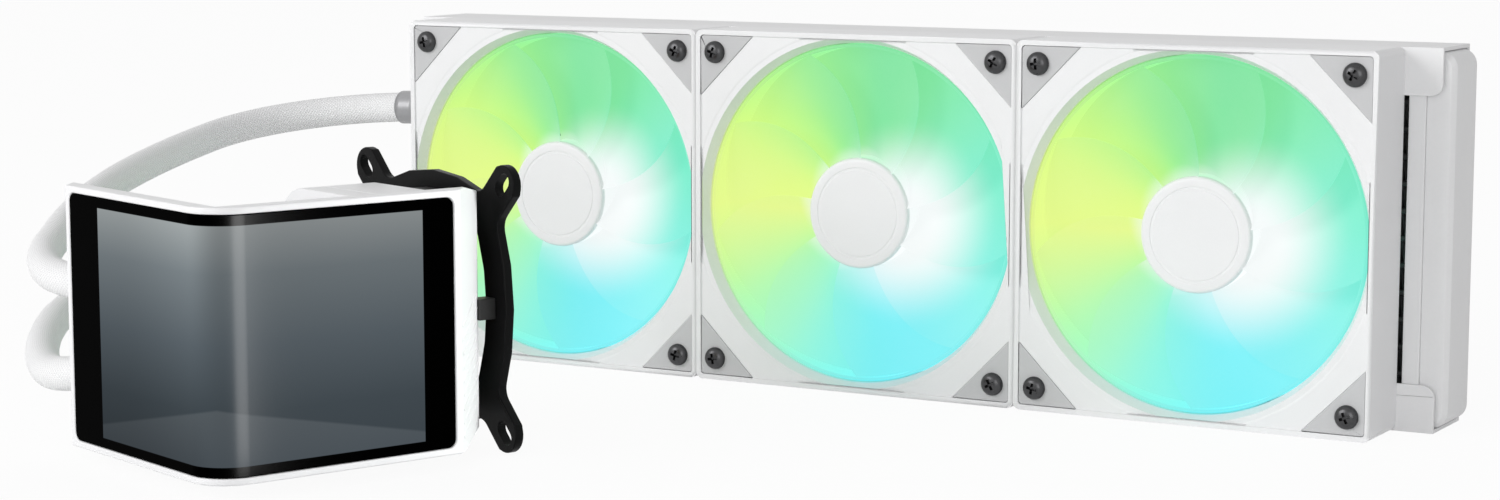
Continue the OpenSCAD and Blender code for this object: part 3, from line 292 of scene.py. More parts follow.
def swept_tube(name, path, radius, sides=28):
    ends = zip(path[:1] + path[:-1], path[1:] + path[-1:])
    tangents = [(after - before).normalized() for before, after in ends]
    side_way = tangents[0].cross(UPWARDS).normalized()
    bm = bmesh.new()
    uv = bm.loops.layers.uv.new("braid")
    rings, lengths, run = [], [], 0.0
    for i, spot in enumerate(path):
        if i:
            side_way = tangents[i - 1].rotation_difference(tangents[i]) @ side_way
            run += (spot - path[i - 1]).length
        up_way = tangents[i].cross(side_way)
        rings.append([bm.verts.new(spot + radius * (math.cos(a) * side_way + math.sin(a) * up_way))
                      for a in (2 * math.pi * k / sides for k in range(sides))])
        lengths.append(run / (2 * math.pi * radius))
    for i in range(len(path) - 1):
        for k in range(sides):
            n = (k + 1) % sides
            face = bm.faces.new((rings[i][k], rings[i][n], rings[i + 1][n], rings[i + 1][k]))
            for loop, (u, v) in zip(face.loops, ((k, i), (k + 1, i), (k + 1, i + 1), (k, i + 1))):
                loop[uv].uv = (u / sides, lengths[v])
            face.smooth = True
    bm.faces.new(list(reversed(rings[0])))
    bm.faces.new(rings[-1])
    return piece_from(name, bm)


hoses = {}
for side, path in routes.items():
    hose = swept_tube(f"{side}_sleeved_hose", path, HOSE_D / 2)
    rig.ride(hose, "cooler")
    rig.replaces(hose, f"{side}_hose")
    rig.slot(hose, "hose_sleeve")
    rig.cord(hose, exit=path[0], length=route_length(path), diameter=HOSE_D, far_end="object",
            stiffness="stiff", lay="loose", path=path)
    hoses[side] = hose
    print(hose.name, len(hose.data.polygons), "faces")

# %% [markdown]
# ## Working with nodes
# The stage, the finishes and the rules for copies are all node trees. Every socket could be joined in a
# line of its own, but a few helpers read better: one plugs a value or another socket into an input, one
# adds a node with its inputs named, and sums are plain words. Each finds its tree from the sockets.

# %% Helpers for nodes


def plug(value, socket):
    """Join an input to another socket, or give it a plain value; a colour gets its alpha here."""
    if isinstance(value, bpy.types.NodeSocket):
        socket.id_data.links.new(value, socket)
    elif socket.type == "RGBA":
        socket.default_value = (*value, 1)
    else:
        socket.default_value = value


def fill(node, **inputs):
    """Plug the named inputs of a node; an underscore stands for a space."""
    for label, value in inputs.items():
        plug(value, node.inputs[label.replace("_", " ")])
    return node


def add_node(tree, kind, **inputs):
    return fill(tree.nodes.new(kind), **inputs)


def add_step(kind, operation, *values):
    """A Math or Vector Math node in the tree of whichever values are sockets."""
    tree = next(value.id_data for value in values if isinstance(value, bpy.types.NodeSocket))
    node = tree.nodes.new(kind)
    node.operation = operation
    for value, socket in zip(values, node.inputs):
        plug(value, socket)
    return node


def add_math(operation, *values):
    return add_step("ShaderNodeMath", operation, *values).outputs[0]


plus = partial(add_math, "ADD")
minus = partial(add_math, "SUBTRACT")
times = partial(add_math, "MULTIPLY")
larger = partial(add_math, "MAXIMUM")


def new_material(name):
    material = bpy.data.materials.new(name)
    material.use_nodes = True
    return material, material.node_tree, material.node_tree.nodes["Principled BSDF"]


# %% [markdown]
# ## The stage
# The photograph has a pure white surround. A large pale floor takes the object's shadow, and part of it
# shines for the camera only, so the floor turns white without any more light on the cooler. The world
# does the same: white where it is seen or mirrored, and a quieter grey where it lights the object.

# %% Floor and world
FLOOR_HALF, FLOOR_PAINT, FLOOR_SHINE = 6.0, (0.9, 0.9, 0.9), 0.94
WHITE, WORLD_LIGHT = (1.0, 1.0, 1.0), 0.5


def show_when_seen(lit, seen, output, share=1.0):
    """Light comes from one shader; the camera, gloss and glass see a share of the other."""
    tree = output.id_data
    rays = tree.nodes.new("ShaderNodeLightPath").outputs
    looked_at = larger(larger(rays["Is Camera Ray"], rays["Is Glossy Ray"]), rays["Is Transmission Ray"])
    mix = tree.nodes.new("ShaderNodeMixShader")
    for value, socket in zip((times(looked_at, share), lit.outputs[0], seen.outputs[0]), mix.inputs):
        plug(value, socket)
    fill(output, Surface=mix.outputs[0])


def make_floor():
    mesh = bpy.data.meshes.new("studio_floor")
    corners = [(x * FLOOR_HALF, y * FLOOR_HALF, 0) for x, y in ((-1, -1), (1, -1), (1, 1), (-1, 1))]
    mesh.from_pydata(corners, [], [(0, 1, 2, 3)])
    floor = new_object("studio_floor", mesh)
    material, tree, paint = new_material("studio_floor_white")
    fill(paint, Base_Color=FLOOR_PAINT, Roughness=0.8, Specular_IOR_Level=0.1)
    shine = add_node(tree, "ShaderNodeEmission", Color=WHITE)
    show_when_seen(paint, shine, tree.nodes["Material Output"], FLOOR_SHINE)
    mesh.materials.append(material)
    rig.stage(floor)


def make_world():
    world = bpy.data.worlds.new("studio_world")
    bpy.context.scene.world = world
    world.use_nodes = True
    tree = world.node_tree
    light = fill(tree.nodes["Background"], Color=WHITE, Strength=WORLD_LIGHT)
    white = add_node(tree, "ShaderNodeBackground", Color=WHITE)
    show_when_seen(light, white, tree.nodes["World Output"])


make_floor()
make_world()
bpy.context.scene.view_settings.view_transform = "Standard"
print("floor and world made")

# %% [markdown]
# ### Lamps
# Two broad soft boxes stand in front of the cooler. The stronger one is high at the left and leaves the
# right sides a shade greyer, as in the photograph. The weaker one is low at the right, and lifts those
# sides and the tank behind the fans.

# %% Lamps
BOX_AIM, BOX_SIZE = (0.0, 0.05, 0.05), 1.2
BOXES = {"front_left_box": ((-1.1, -1.6, 0.8), 19.5), "front_right_box": ((0.85, -1.7, 0.3), 9.0)}


def soft_box(name, place, aim, size, watts):
    data = bpy.data.lights.new(name, "AREA")
    data.shape = "DISK"
    data.size = size
    data.energy = watts
    lamp = new_object(name, data)
    lamp.location = place
    lamp.rotation_euler = (Vector(aim) - Vector(place)).to_track_quat("-Z", "Y").to_euler()
    lamp.visible_camera = False
    return lamp


for name, (place, watts) in BOXES.items():
    lamp = soft_box(name, place, BOX_AIM, BOX_SIZE, watts)
    print(lamp.name, watts, "W")

# %% [markdown]
# ## Finishes
# Almost every surface here is moulded, painted, cast or rolled, so three small effects are shared by all
# the materials: a fine moulded skin, long rolled lines and soft handling marks. Each one is a node group
# with named sockets, built once. The groups read Object coordinates, so a pattern keeps its real size.

# %% Helpers for node groups


def new_group(name, inputs, outputs):
    """An empty shader group: each input has its own value, and every output is a number."""
    group = bpy.data.node_groups.new(name, "ShaderNodeTree")
    for label, value in inputs.items():
        kind = "NodeSocketFloat" if isinstance(value, float) else "NodeSocketVector"
        group.interface.new_socket(label, in_out="INPUT", socket_type=kind).default_value = value
    for label in outputs:
        group.interface.new_socket(label, in_out="OUTPUT", socket_type="NodeSocketFloat")
    return group, group.nodes.new("NodeGroupInput").outputs, group.nodes.new("NodeGroupOutput")


def object_place(tree):
    return tree.nodes.new("ShaderNodeTexCoord").outputs["Object"]


def add_range(value, low, high, out_low=0.0, out_high=1.0, soft=True):
    node = add_node(value.id_data, "ShaderNodeMapRange", Value=value, From_Min=low, From_Max=high,
                    To_Min=out_low, To_Max=out_high)
    node.interpolation_type = "SMOOTHSTEP" if soft else "LINEAR"
    return node.outputs["Result"]


def add_noise(vector, scale, detail):
    node = add_node(vector.id_data, "ShaderNodeTexNoise", Vector=vector, Scale=scale, Detail=detail)
    return node.outputs[0]


# %% The moulded skin, the rolled lines and the handling marks
SKIN_OUTPUTS = ("Tone", "Roughness", "Height")
FINE_SHARE, CLOUDS_PER_METRE = 0.35, 38.0
SMEAR_FROM, SMEAR_TO = 0.52, 0.78


def swung_roughness(given, tone):
    """The given roughness, moved up and down by the tone."""
    return plus(given["Roughness"], times(minus(tone, 0.5), given["Spread"]))


def make_moulded_skin():
    sizes = {"Grain per metre": 1800.0, "Roughness": 0.45, "Spread": 0.08}
    group, given, out = new_group("moulded skin", sizes, SKIN_OUTPUTS)
    place = object_place(group)
    fine = add_noise(place, given["Grain per metre"], detail=2.0)
    cloud = add_noise(place, CLOUDS_PER_METRE, detail=3.0)
    tone = plus(times(fine, FINE_SHARE), times(cloud, 1 - FINE_SHARE))
    fill(out, Tone=tone, Roughness=swung_roughness(given, tone), Height=fine)
    return group


def make_rolled_lines():
    sizes = {"Stretch": (20.0, 900.0, 900.0), "Roughness": 0.35, "Spread": 0.15}
    group, given, out = new_group("rolled lines", sizes, SKIN_OUTPUTS)
    drawn_out = add_step("ShaderNodeVectorMath", "MULTIPLY", object_place(group), given["Stretch"])
    lines = add_noise(drawn_out.outputs[0], 1.0, detail=4.0)
    fill(out, Tone=lines, Roughness=swung_roughness(given, lines), Height=lines)
    return group


def make_handling_marks():
    group, given, out = new_group("handling marks", {"Marks per metre": 26.0, "Amount": 0.5}, ["Mask"])
    smear = add_noise(object_place(group), given["Marks per metre"], detail=5.0)
    fill(out, Mask=times(add_range(smear, SMEAR_FROM, SMEAR_TO), given["Amount"]))
    return group


MOULDED_SKIN = make_moulded_skin()
ROLLED_LINES = make_rolled_lines()
HANDLING_MARKS = make_handling_marks()
print("effects:", MOULDED_SKIN.name, ROLLED_LINES.name, HANDLING_MARKS.name)

# %% [markdown]
# ### From effects to finishes
# A finish takes two near colours, mixes them by the tone of its skin, lets the handling marks dull it, and
# raises the fine grain as a bump. Metals use the rolled lines in place of the skin.

# %% Making a finish
MARKS_AMOUNT, MARKS_DULL = 0.3, 0.18


def place_group(tree, group, **values):
    node = tree.nodes.new("ShaderNodeGroup")
    node.node_tree = group
    return fill(node, **values)


def mix_colours(tree, share, low, high):
    node = tree.nodes.new("ShaderNodeMix")
    node.data_type = "RGBA"
    for value, slot in ((share, 0), (low, 6), (high, 7)):
        plug(value, node.inputs[slot])
    return node.outputs[2]


def raise_grain(shader, height, depth, strength):
    bump = add_node(shader.id_data, "ShaderNodeBump", Strength=strength, Distance=depth * MM, Height=height)
    fill(shader, Normal=bump.outputs["Normal"])


def finish(name, low, high, rough, metal=0.0, grain=1800.0, rolled=None, bump=0.02, specular=0.5):
    """A material from two near colours; rolled gives the stretch of its lines, otherwise it is moulded."""
    material, tree, shader = new_material(name)
    fill(shader, Metallic=metal, Specular_IOR_Level=specular)
    if rolled:
        skin = place_group(tree, ROLLED_LINES, Stretch=rolled, Roughness=rough)
    else:
        skin = place_group(tree, MOULDED_SKIN, Grain_per_metre=grain, Roughness=rough)
    marks = place_group(tree, HANDLING_MARKS, Amount=MARKS_AMOUNT)
    dulled = add_math("MULTIPLY_ADD", marks.outputs["Mask"], MARKS_DULL, skin.outputs["Roughness"])
    fill(shader, Base_Color=mix_colours(tree, skin.outputs["Tone"], low, high), Roughness=dulled)
    raise_grain(shader, skin.outputs["Height"], bump, 0.5)
    return material


ALL_WAYS = (700.0, 700.0, 700.0)
FINISHES = {
    "white_plastic": finish("white_moulding", (0.80, 0.80, 0.81), (0.88, 0.88, 0.89), 0.42, bump=0.015),
    "white_paint": finish("white_powder_coat", (0.79, 0.79, 0.80), (0.88, 0.88, 0.885), 0.5, grain=900.0,
                          bump=0.03),
    "pad_rubber": finish("grey_pad_rubber", (0.52, 0.52, 0.53), (0.60, 0.60, 0.61), 0.62, grain=2600.0,
                         bump=0.03),
    "collar_metal": finish("grey_collar", (0.30, 0.30, 0.31), (0.37, 0.37, 0.38), 0.38, metal=0.35,
                           rolled=(900.0, 60.0, 900.0), bump=0.01),
    "port_metal": finish("nickel_port", (0.60, 0.60, 0.61), (0.72, 0.72, 0.73), 0.3, metal=0.9,
                         rolled=(60.0, 900.0, 900.0), bump=0.01),
    # The fins' near-black colour is painted shade: it makes the slit between the fans and the tanks dark
    "core_metal": finish("dark_coated_core", (0.030, 0.030, 0.031), (0.052, 0.052, 0.054), 0.45, metal=0.1,
                         rolled=(30.0, 900.0, 900.0), bump=0.01),
    "black_metal": finish("black_bracket_coat", (0.003, 0.003, 0.003), (0.007, 0.007, 0.0075), 0.34,
                          grain=1200.0, specular=0.06),
    "black_plastic": finish("black_moulding", (0.012, 0.012, 0.012), (0.022, 0.022, 0.022), 0.5),
    "dark_screw": finish("dark_screw_steel", (0.045, 0.045, 0.047), (0.085, 0.085, 0.088), 0.3, metal=0.9,
                         rolled=ALL_WAYS, bump=0.01),
    "screw_steel": finish("zinc_screw_steel", (0.45, 0.45, 0.46), (0.58, 0.58, 0.59), 0.35, metal=0.95,
                          rolled=ALL_WAYS, bump=0.01),
    "copper_plate": finish("milled_copper", (0.62, 0.30, 0.18), (0.76, 0.40, 0.26), 0.28, metal=1.0,
                           rolled=(900.0, 900.0, 25.0), bump=0.01),
    "copper_winding": finish("enamelled_copper", (0.42, 0.17, 0.07), (0.55, 0.24, 0.11), 0.35, metal=0.8,
                             rolled=(900.0, 900.0, 120.0), bump=0.03),
    "board": finish("green_board", (0.012, 0.07, 0.035), (0.02, 0.11, 0.055), 0.4, grain=1500.0),
    "screen": finish("display_panel_back", (0.05, 0.055, 0.06), (0.08, 0.085, 0.09), 0.3, bump=0.01),
    "impeller_plastic": finish("impeller_moulding", (0.05, 0.05, 0.055), (0.08, 0.08, 0.085), 0.4,
                               bump=0.015),
    "shaft_ceramic": finish("ceramic_shaft", (0.72, 0.70, 0.66), (0.80, 0.78, 0.74), 0.22, bump=0.005),
    "shaft_steel": finish("ground_shaft_steel", (0.55, 0.55, 0.56), (0.68, 0.68, 0.69), 0.2, metal=1.0,
                          rolled=(900.0, 40.0, 900.0), bump=0.005),
    "seal_rubber": finish("seal_rubber", (0.015, 0.015, 0.015), (0.028, 0.028, 0.028), 0.6),
    "magnet": finish("ferrite_magnet", (0.045, 0.045, 0.048), (0.075, 0.075, 0.08), 0.55, grain=2600.0),
    "bearing_brass": finish("sintered_brass", (0.52, 0.38, 0.16), (0.62, 0.47, 0.22), 0.42, metal=0.9,
                            grain=2600.0),
}
print("finishes:", len(FINISHES))

# %% [markdown]
# ### The braided sleeve
# The sleeve is woven from flat white threads that cross at an angle. Two slanted waves on the hose's own
# map give the two thread directions, and where one passes over the other it stands higher. It is also
# painted paler there and darker in the hollows beneath, which is painted shade.

# %% Sleeve finish
THREADS_ROUND, THREAD_DEPTH = 26.0, 0.12
OVER_FROM, OVER_TO = -0.4, 1.0
# Thread colours: darker under as painted shade in the weave's hollows, paler over as painted light
THREAD_UNDER_SHADED, THREAD_OVER_LIT, THREAD_WORN = (0.76, 0.76, 0.77), (0.90, 0.90, 0.905), (0.82, 0.82, 0.825)


def map_place(tree, name):
    """The two directions of one of a piece's own maps."""
    uv = tree.nodes.new("ShaderNodeUVMap")
    uv.uv_map = name
    parts = add_node(tree, "ShaderNodeSeparateXYZ", Vector=uv.outputs[0])
    return parts.outputs[0], parts.outputs[1]


def make_sleeve_weave():
    group, given, out = new_group("sleeve weave", {"Threads round": THREADS_ROUND}, ["Over", "Height"])
    around, along = map_place(group, "braid")
    turns = times(given["Threads round"], 2 * math.pi)
    left = add_math("SINE", times(plus(around, along), turns))
    right = add_math("SINE", times(minus(around, along), turns))
    over = larger(left, right)
    fill(out, Over=add_range(over, OVER_FROM, OVER_TO), Height=plus(over, times(left, right)))
    return group


def sleeve_finish():
    material, tree, shader = new_material("white_braided_sleeve")
    fill(shader, Roughness=0.7, Specular_IOR_Level=0.3, Sheen_Weight=0.15)
    weave = place_group(tree, make_sleeve_weave())
    marks = place_group(tree, HANDLING_MARKS, Amount=0.4)
    # Painted shade: a thread is darker where it lies under and paler where it crosses over
    threads = mix_colours(tree, weave.outputs["Over"], THREAD_UNDER_SHADED, THREAD_OVER_LIT)
    fill(shader, Base_Color=mix_colours(tree, marks.outputs["Mask"], threads, THREAD_WORN))
    raise_grain(shader, weave.outputs["Height"], THREAD_DEPTH, 0.6)
    return material


FINISHES["hose_sleeve"] = sleeve_finish()
for hose in hoses.values():
    hose.data.materials.append(FINISHES["hose_sleeve"])
print("sleeve threads round:", THREADS_ROUND)

# %% [markdown]
# ### The display
# The glass is one sheet bent round the corner of the block, black at its border and lit behind its middle.
# The lit picture is a quiet grey room: two walls that meet at the bend, paler at the top, over a floor.
# The place on the glass comes from Object coordinates turned into the block's own two directions, so no
# map is needed. The glass mirrors little, as a coated display does, and that keeps its border black.

# %% Display glass finish
SCREEN_LOW, SCREEN_H = 9.8 * MM, 67.4 * MM
SCREEN_LEFT, SCREEN_RIGHT = 64.4 * MM, 69.8 * MM
SCREEN_BLUR = 0.1 * MM
BLACK = (0.0, 0.0, 0.0)
# Colours from the foot to the head of a wall, and from the front of the room's floor to its back
WALL_TONES = [(0.0, (0.044, 0.056, 0.066)), (0.22, (0.051, 0.065, 0.076)), (0.5, (0.085, 0.104, 0.119)),
              (0.8, (0.138, 0.160, 0.172)), (1.0, (0.230, 0.250, 0.254))]
GROUND_TONES = [(0.0, (0.070, 0.085, 0.098)), (0.26, (0.092, 0.108, 0.120))]
# The line where the walls end, as a share of the height at the bend, and its fall towards the sides
SKIRTING_AT_BEND, SKIRTING_FALL, SKIRTING_BLUR = 0.25, 0.205, (-0.006, 0.008)
# What the bend adds to the light of each wall, how far that reaches, and the left wall's own light
LEFT_OF_BEND, RIGHT_OF_BEND, BEND_REACH = 0.30, -0.12, 0.75
BEND_BLUR = (-4 * MM, 12 * MM)
LEFT_FOOT, LEFT_HEAD = 0.6, 1.24


def along_face(place, direction):
    """Distance of a point from the display corner along one of the block's directions."""
    run = add_step("ShaderNodeVectorMath", "DOT_PRODUCT", place, direction)
    return minus(run.outputs["Value"], BLOCK_CORNER.dot(direction))


def colour_ramp(value, stops, mode="LINEAR"):
    node = value.id_data.nodes.new("ShaderNodeValToRGB")
    node.color_ramp.interpolation = mode
    marks = node.color_ramp.elements
    while len(marks) < len(stops):
        marks.new(0.5)
    for mark, (spot, colour) in zip(marks, stops):
        mark.position = spot
        mark.color = (*colour, 1)
    plug(value, node.inputs[0])
    return node.outputs[0]


def room_picture(tree, right, left, up):
    """The grey room on the screen, from the distances along the two faces and up from its lower edge."""
    rise = add_math("DIVIDE", up, SCREEN_H)
    away = add_math("DIVIDE", larger(right, left), SCREEN_RIGHT)
    skirting = minus(SKIRTING_AT_BEND, times(away, SKIRTING_FALL))
    below = add_range(minus(skirting, rise), *SKIRTING_BLUR)
    room = mix_colours(tree, below, colour_ramp(rise, WALL_TONES), colour_ramp(rise, GROUND_TONES))
    on_left = add_range(minus(left, right), *BEND_BLUR)
    near_bend = add_range(away, 0.0, BEND_REACH, 1.0, 0.0)
    change = plus(times(on_left, LEFT_OF_BEND - RIGHT_OF_BEND), RIGHT_OF_BEND)
    corner = plus(times(near_bend, change), 1.0)
    left_wall = minus(add_range(rise, 0.0, 1.0, LEFT_FOOT, LEFT_HEAD, soft=False), 1.0)
    light = plus(times(on_left, left_wall), 1.0)
    shaded = add_step("ShaderNodeVectorMath", "SCALE", room)
    return fill(shaded, Scale=times(corner, light)).outputs[0]


def screen_finish():
    material, tree, shader = new_material("lit_display_glass")
    fill(shader, Base_Color=BLACK, Specular_IOR_Level=0.003, Emission_Strength=1.0)
    skin = place_group(tree, MOULDED_SKIN, Grain_per_metre=160.0, Roughness=0.3, Spread=0.04)
    place = object_place(tree)
    right, left = along_face(place, ALONG_RIGHT), along_face(place, ALONG_LEFT)
    height = add_node(tree, "ShaderNodeSeparateXYZ", Vector=place).outputs[2]
    up = minus(height, SCREEN_LOW)
    inside = add_range(minus(SCREEN_RIGHT, right), -SCREEN_BLUR, SCREEN_BLUR)
    for way_in in (minus(SCREEN_LEFT, left), up, minus(SCREEN_H, up)):
        inside = times(inside, add_range(way_in, -SCREEN_BLUR, SCREEN_BLUR))
    picture = mix_colours(tree, inside, BLACK, room_picture(tree, right, left, up))
    fill(shader, Roughness=skin.outputs["Roughness"], Emission_Color=picture)
    return material


FINISHES["black_glass"] = screen_finish()
print("screen in mm:", in_mm((SCREEN_LEFT, SCREEN_RIGHT)), "wide,", in_mm((SCREEN_H,)), "high")

# %% [markdown]
# ### The glowing rotors
# The blades are frosted plastic, lit by a ring of coloured lights in the motor, so the whole disc glows:
# yellow-green on the left, green above, turquoise to the right and below, and nearly white beside the
# hub. The blades carry a map of the disc, in fan widths about the axis, and the colour follows the angle.

# %% Rotor finish
FAN_SIZE = 120.0 * MM
# Colours once round the disc, from the left over the bottom, the right and the top
GLOW = [(0.83, 1.00, 0.24), (0.52, 1.00, 0.40), (0.31, 0.97, 0.68), (0.17, 0.91, 0.91),
        (0.19, 0.91, 0.96), (0.21, 0.91, 0.83), (0.16, 0.87, 0.65), (0.19, 0.87, 0.55),
        (0.21, 0.83, 0.38), (0.22, 0.81, 0.33), (0.38, 0.91, 0.26), (0.68, 1.00, 0.22)]
GLOW_STRENGTH = 0.82
# Middle of the pale patch, to the right of the hub, and where it fades out, in fan widths
PATCH_AT, PATCH_UP, PATCH_FROM, PATCH_TO = 0.125, -0.025, 0.08, 0.30
# The weaker pale ring close round the hub
HALO_FROM, HALO_TO, HALO_SHARE = 0.15, 0.20, 0.5
PALE_GLOW, FROST, UNLIT = (0.97, 1.0, 1.0), (0.9, 0.95, 0.95), (0.02, 0.03, 0.03)
FROST_SHARE, UNLIT_SHARE = 0.12, 0.9


def distance(across, up):
    return add_math("SQRT", plus(times(across, across), times(up, up)))


def rotor_finish():
    material, tree, shader = new_material("glowing_frosted_blades")
    fill(shader, Specular_IOR_Level=0.25, Emission_Strength=GLOW_STRENGTH)
    skin = place_group(tree, MOULDED_SKIN, Grain_per_metre=1400.0, Roughness=0.4)
    across, up = (minus(way, 0.5) for way in map_place(tree, "disc"))
    turn = add_range(add_math("ARCTAN2", up, across), -math.pi, math.pi, soft=False)
    stops = [(k / len(GLOW), colour) for k, colour in enumerate(GLOW + GLOW[:1])]
    hue = colour_ramp(turn, stops, "CARDINAL")
    patch = add_range(distance(minus(across, PATCH_AT), minus(up, PATCH_UP)), PATCH_FROM, PATCH_TO, 1.0, 0.0)
    halo = add_range(distance(across, up), HALO_FROM, HALO_TO, HALO_SHARE, 0.0)
    glow = mix_colours(tree, larger(patch, halo), hue, PALE_GLOW)
    frosted = mix_colours(tree, times(skin.outputs["Tone"], FROST_SHARE), glow, FROST)
    dim = mix_colours(tree, UNLIT_SHARE, glow, UNLIT)
    fill(shader, Base_Color=dim, Emission_Color=frosted, Roughness=skin.outputs["Roughness"])
    return material


FINISHES["rotor_plastic"] = rotor_finish()
print("glow colours:", len(GLOW))

# %% [markdown]
# ### Finishes onto the CAD nodes
# Every solid that stays visible takes the finish of its own slot in the record. Pieces that are made new
# further on take theirs from the same table, and are handed over in one way: finish, body, slot and the
# CAD nodes that they stand for.

# %% Dress the CAD nodes
slot_of = {part["node"]: part["material_slot"] for part in frame["record"]["subparts"]}


def dress(piece, slot):
    piece.data.materials.clear()
    piece.data.materials.append(FINISHES[slot])


def hand_over(piece, body, slot, *nodes):
    dress(piece, slot)
    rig.ride(piece, body)
    if nodes:
        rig.replaces(piece, *nodes)
    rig.slot(piece, slot)
    print(piece.name, len(piece.data.polygons), "faces")
    return piece


for name, node in frame["nodes"].items():
    dress(node, slot_of[name])
print("dressed", len(slot_of), "nodes")

# %% [markdown]
# ## Soft edges
# A moulded or bent part never ends in a perfectly sharp edge, and it is the small bright line along the
# edge that makes it look made. The CAD meshes are loose triangles, so each copy is first merged, its flat
# triangles are joined into whole faces, and a narrow Bevel rounds what is left. The copy stands for its
# node, and the node stays in the simulation.

# %% Softened copies
MERGE_WITHIN, FLAT_WITHIN = 1e-6, math.radians(0.4)
EDGE_WIDTHS = {
    0.25: ("display_glass", "top_rail", "bottom_rail", "upper_port", "lower_port"),
    0.3: ("cold_plate", "left_tank", "right_tank", "upper_elbow", "lower_elbow", "fan_pads_1", "fan_pads_2",
          "fan_pads_3"),
    0.35: ("left_header", "right_header", "pump_collars", "radiator_collars"),
    0.4: ("display_back_cover", "pump_base"),
    0.5: ("display_frame", "pump_housing"),
    0.6: ("pump_cap",),
}


def mark_edges(bm, angle, shortest):
    """Sharp edges that are long enough for a bevel get a weight; the short ones stay sharp."""
    weight = bm.edges.layers.float.new("bevel_weight_edge")
    for edge in bm.edges:
        if len(edge.link_faces) != 2 or edge.calc_face_angle(0.0) < math.radians(angle):
            continue
        if edge.calc_length() > shortest * MM:
            edge[weight] = 1.0
        else:
            edge.smooth = False


def cut_by(draft, cutter):
    cut = draft.modifiers.new("cut", "BOOLEAN")
    cut.solver = "EXACT"
    cut.object = cutter


def plain_mesh(draft, name):
    """The draft's mesh with its modifiers applied, as a new object; the draft goes away."""
    shaped = draft.evaluated_get(bpy.context.evaluated_depsgraph_get())
    mesh = bpy.data.meshes.new_from_object(shaped)
    mesh.name = name
    old = draft.data
    bpy.data.objects.remove(draft)
    bpy.data.meshes.remove(old)
    return new_object(name, mesh)


def softened(node_name, width, angle=28.0, shortest=0.0, cutter=None):
    name = f"soft_{node_name}"
    bm = bmesh.new()
    bm.from_mesh(frame["nodes"][node_name].data)
    bmesh.ops.remove_doubles(bm, verts=bm.verts, dist=MERGE_WITHIN)
    bmesh.ops.dissolve_limit(bm, angle_limit=FLAT_WITHIN, verts=bm.verts, edges=bm.edges)
    for face in bm.faces:
        face.smooth = True
    mark_edges(bm, angle, shortest)
    mesh = bpy.data.meshes.new(name)
    bm.to_mesh(mesh)
    bm.free()
    draft = new_object(f"{name}_draft", mesh)
    if cutter:
        cut_by(draft, cutter)
    bevel = draft.modifiers.new("edge", "BEVEL")
    bevel.width = width * MM
    bevel.segments = 2
    bevel.limit_method = "WEIGHT"
    bevel.use_clamp_overlap = False
    bevel.harden_normals = True
    draft.modifiers.new("level", "WEIGHTED_NORMAL").keep_sharp = True
    return hand_over(plain_mesh(draft, name), "cooler", slot_of[node_name], node_name)


for width, node_names in EDGE_WIDTHS.items():
    for node_name in node_names:
        softened(node_name, width)
for n in (1, 2, 3):
    softened(f"fan_frame_{n}", 0.35, angle=50.0, shortest=0.7)

# %% [markdown]
# ## Copies by rule
# Blades, screws, fins and ribs repeat, so Geometry Nodes place them: a tree takes one piece and named
# sizes, sets out points by a rule, puts a copy on each, turns the copies into real mesh and gives them
# their finish. Editing a number then changes the whole set.

# %% Helpers for trees


def new_tree(name, **inputs):
    """An empty tree that takes a shape, inputs of the given kinds and a finish."""
    tree = bpy.data.node_groups.new(name, "GeometryNodeTree")
    for label, kind in {"Geometry": "Geometry", **inputs, "Finish": "Material"}.items():
        tree.interface.new_socket(label.replace("_", " "), in_out="INPUT", socket_type=f"NodeSocket{kind}")
    tree.interface.new_socket("Geometry", in_out="OUTPUT", socket_type="NodeSocketGeometry")
    return tree, tree.nodes.new("NodeGroupInput").outputs, tree.nodes.new("NodeGroupOutput")


def copies_on(tree, points, shape, **turn):
    copies = add_node(tree, "GeometryNodeInstanceOnPoints", Points=points, Instance=shape, **turn)
    return copies.outputs[0]


def end_tree(tree, given, out, copies):
    """Real mesh and the finish, as the last two nodes of every tree."""
    real = add_node(tree, "GeometryNodeRealizeInstances", Geometry=copies)
    coat = add_node(tree, "GeometryNodeSetMaterial", Geometry=real.outputs[0], Material=given["Finish"])
    fill(out, Geometry=coat.outputs[0])
    return tree


def grown(draft, tree, name, **values):
    """The mesh that a tree grows from a draft, with the tree's inputs set by their identifiers."""
    modifier = draft.modifiers.new("copies", "NODES")
    modifier.node_group = tree
    for item in tree.interface.items_tree:
        label = item.name.replace(" ", "_")
        if item.in_out == "INPUT" and label in values:
            modifier[item.identifier] = values[label]
    return plain_mesh(draft, name)


def draft_from(name, vertices, faces):
    bm = bmesh.new()
    spots = [bm.verts.new(place) for place in vertices]
    for face in faces:
        bm.faces.new([spots[k] for k in face])
    return piece_from(name, bm)


def prism_draft(name, prisms):
    """Closed prisms in one mesh, each given by the points of its two ends."""
    vertices, faces = [], []
    for first, last in prisms:
        a, n = len(vertices), len(first)
        vertices += first + last
        faces += [range(a, a + n), reversed(range(a + n, a + 2 * n))]
        faces += [(a + k, a + (k + 1) % n, a + n + (k + 1) % n, a + n + k) for k in range(n)]
    return draft_from(name, vertices, faces)


# %% [markdown]
# ## Slots in the bracket
# The black bracket is a stamped plate. Its ears take screws at slightly different spacings, so each hole is
# a short slot that points at the middle. Four slot-shaped cutters, drawn as one mesh, open the round holes
# of the softened copy.

# %% Bracket with slots
EAR_OFF, SLOT_R, SLOT_RUN = 37.5, 2.4, 1.7
BRACKET_ACROSS, BRACKET_UP = 50.0, 43.5
CUT_FROM, CUT_TO = 103.0, 112.0


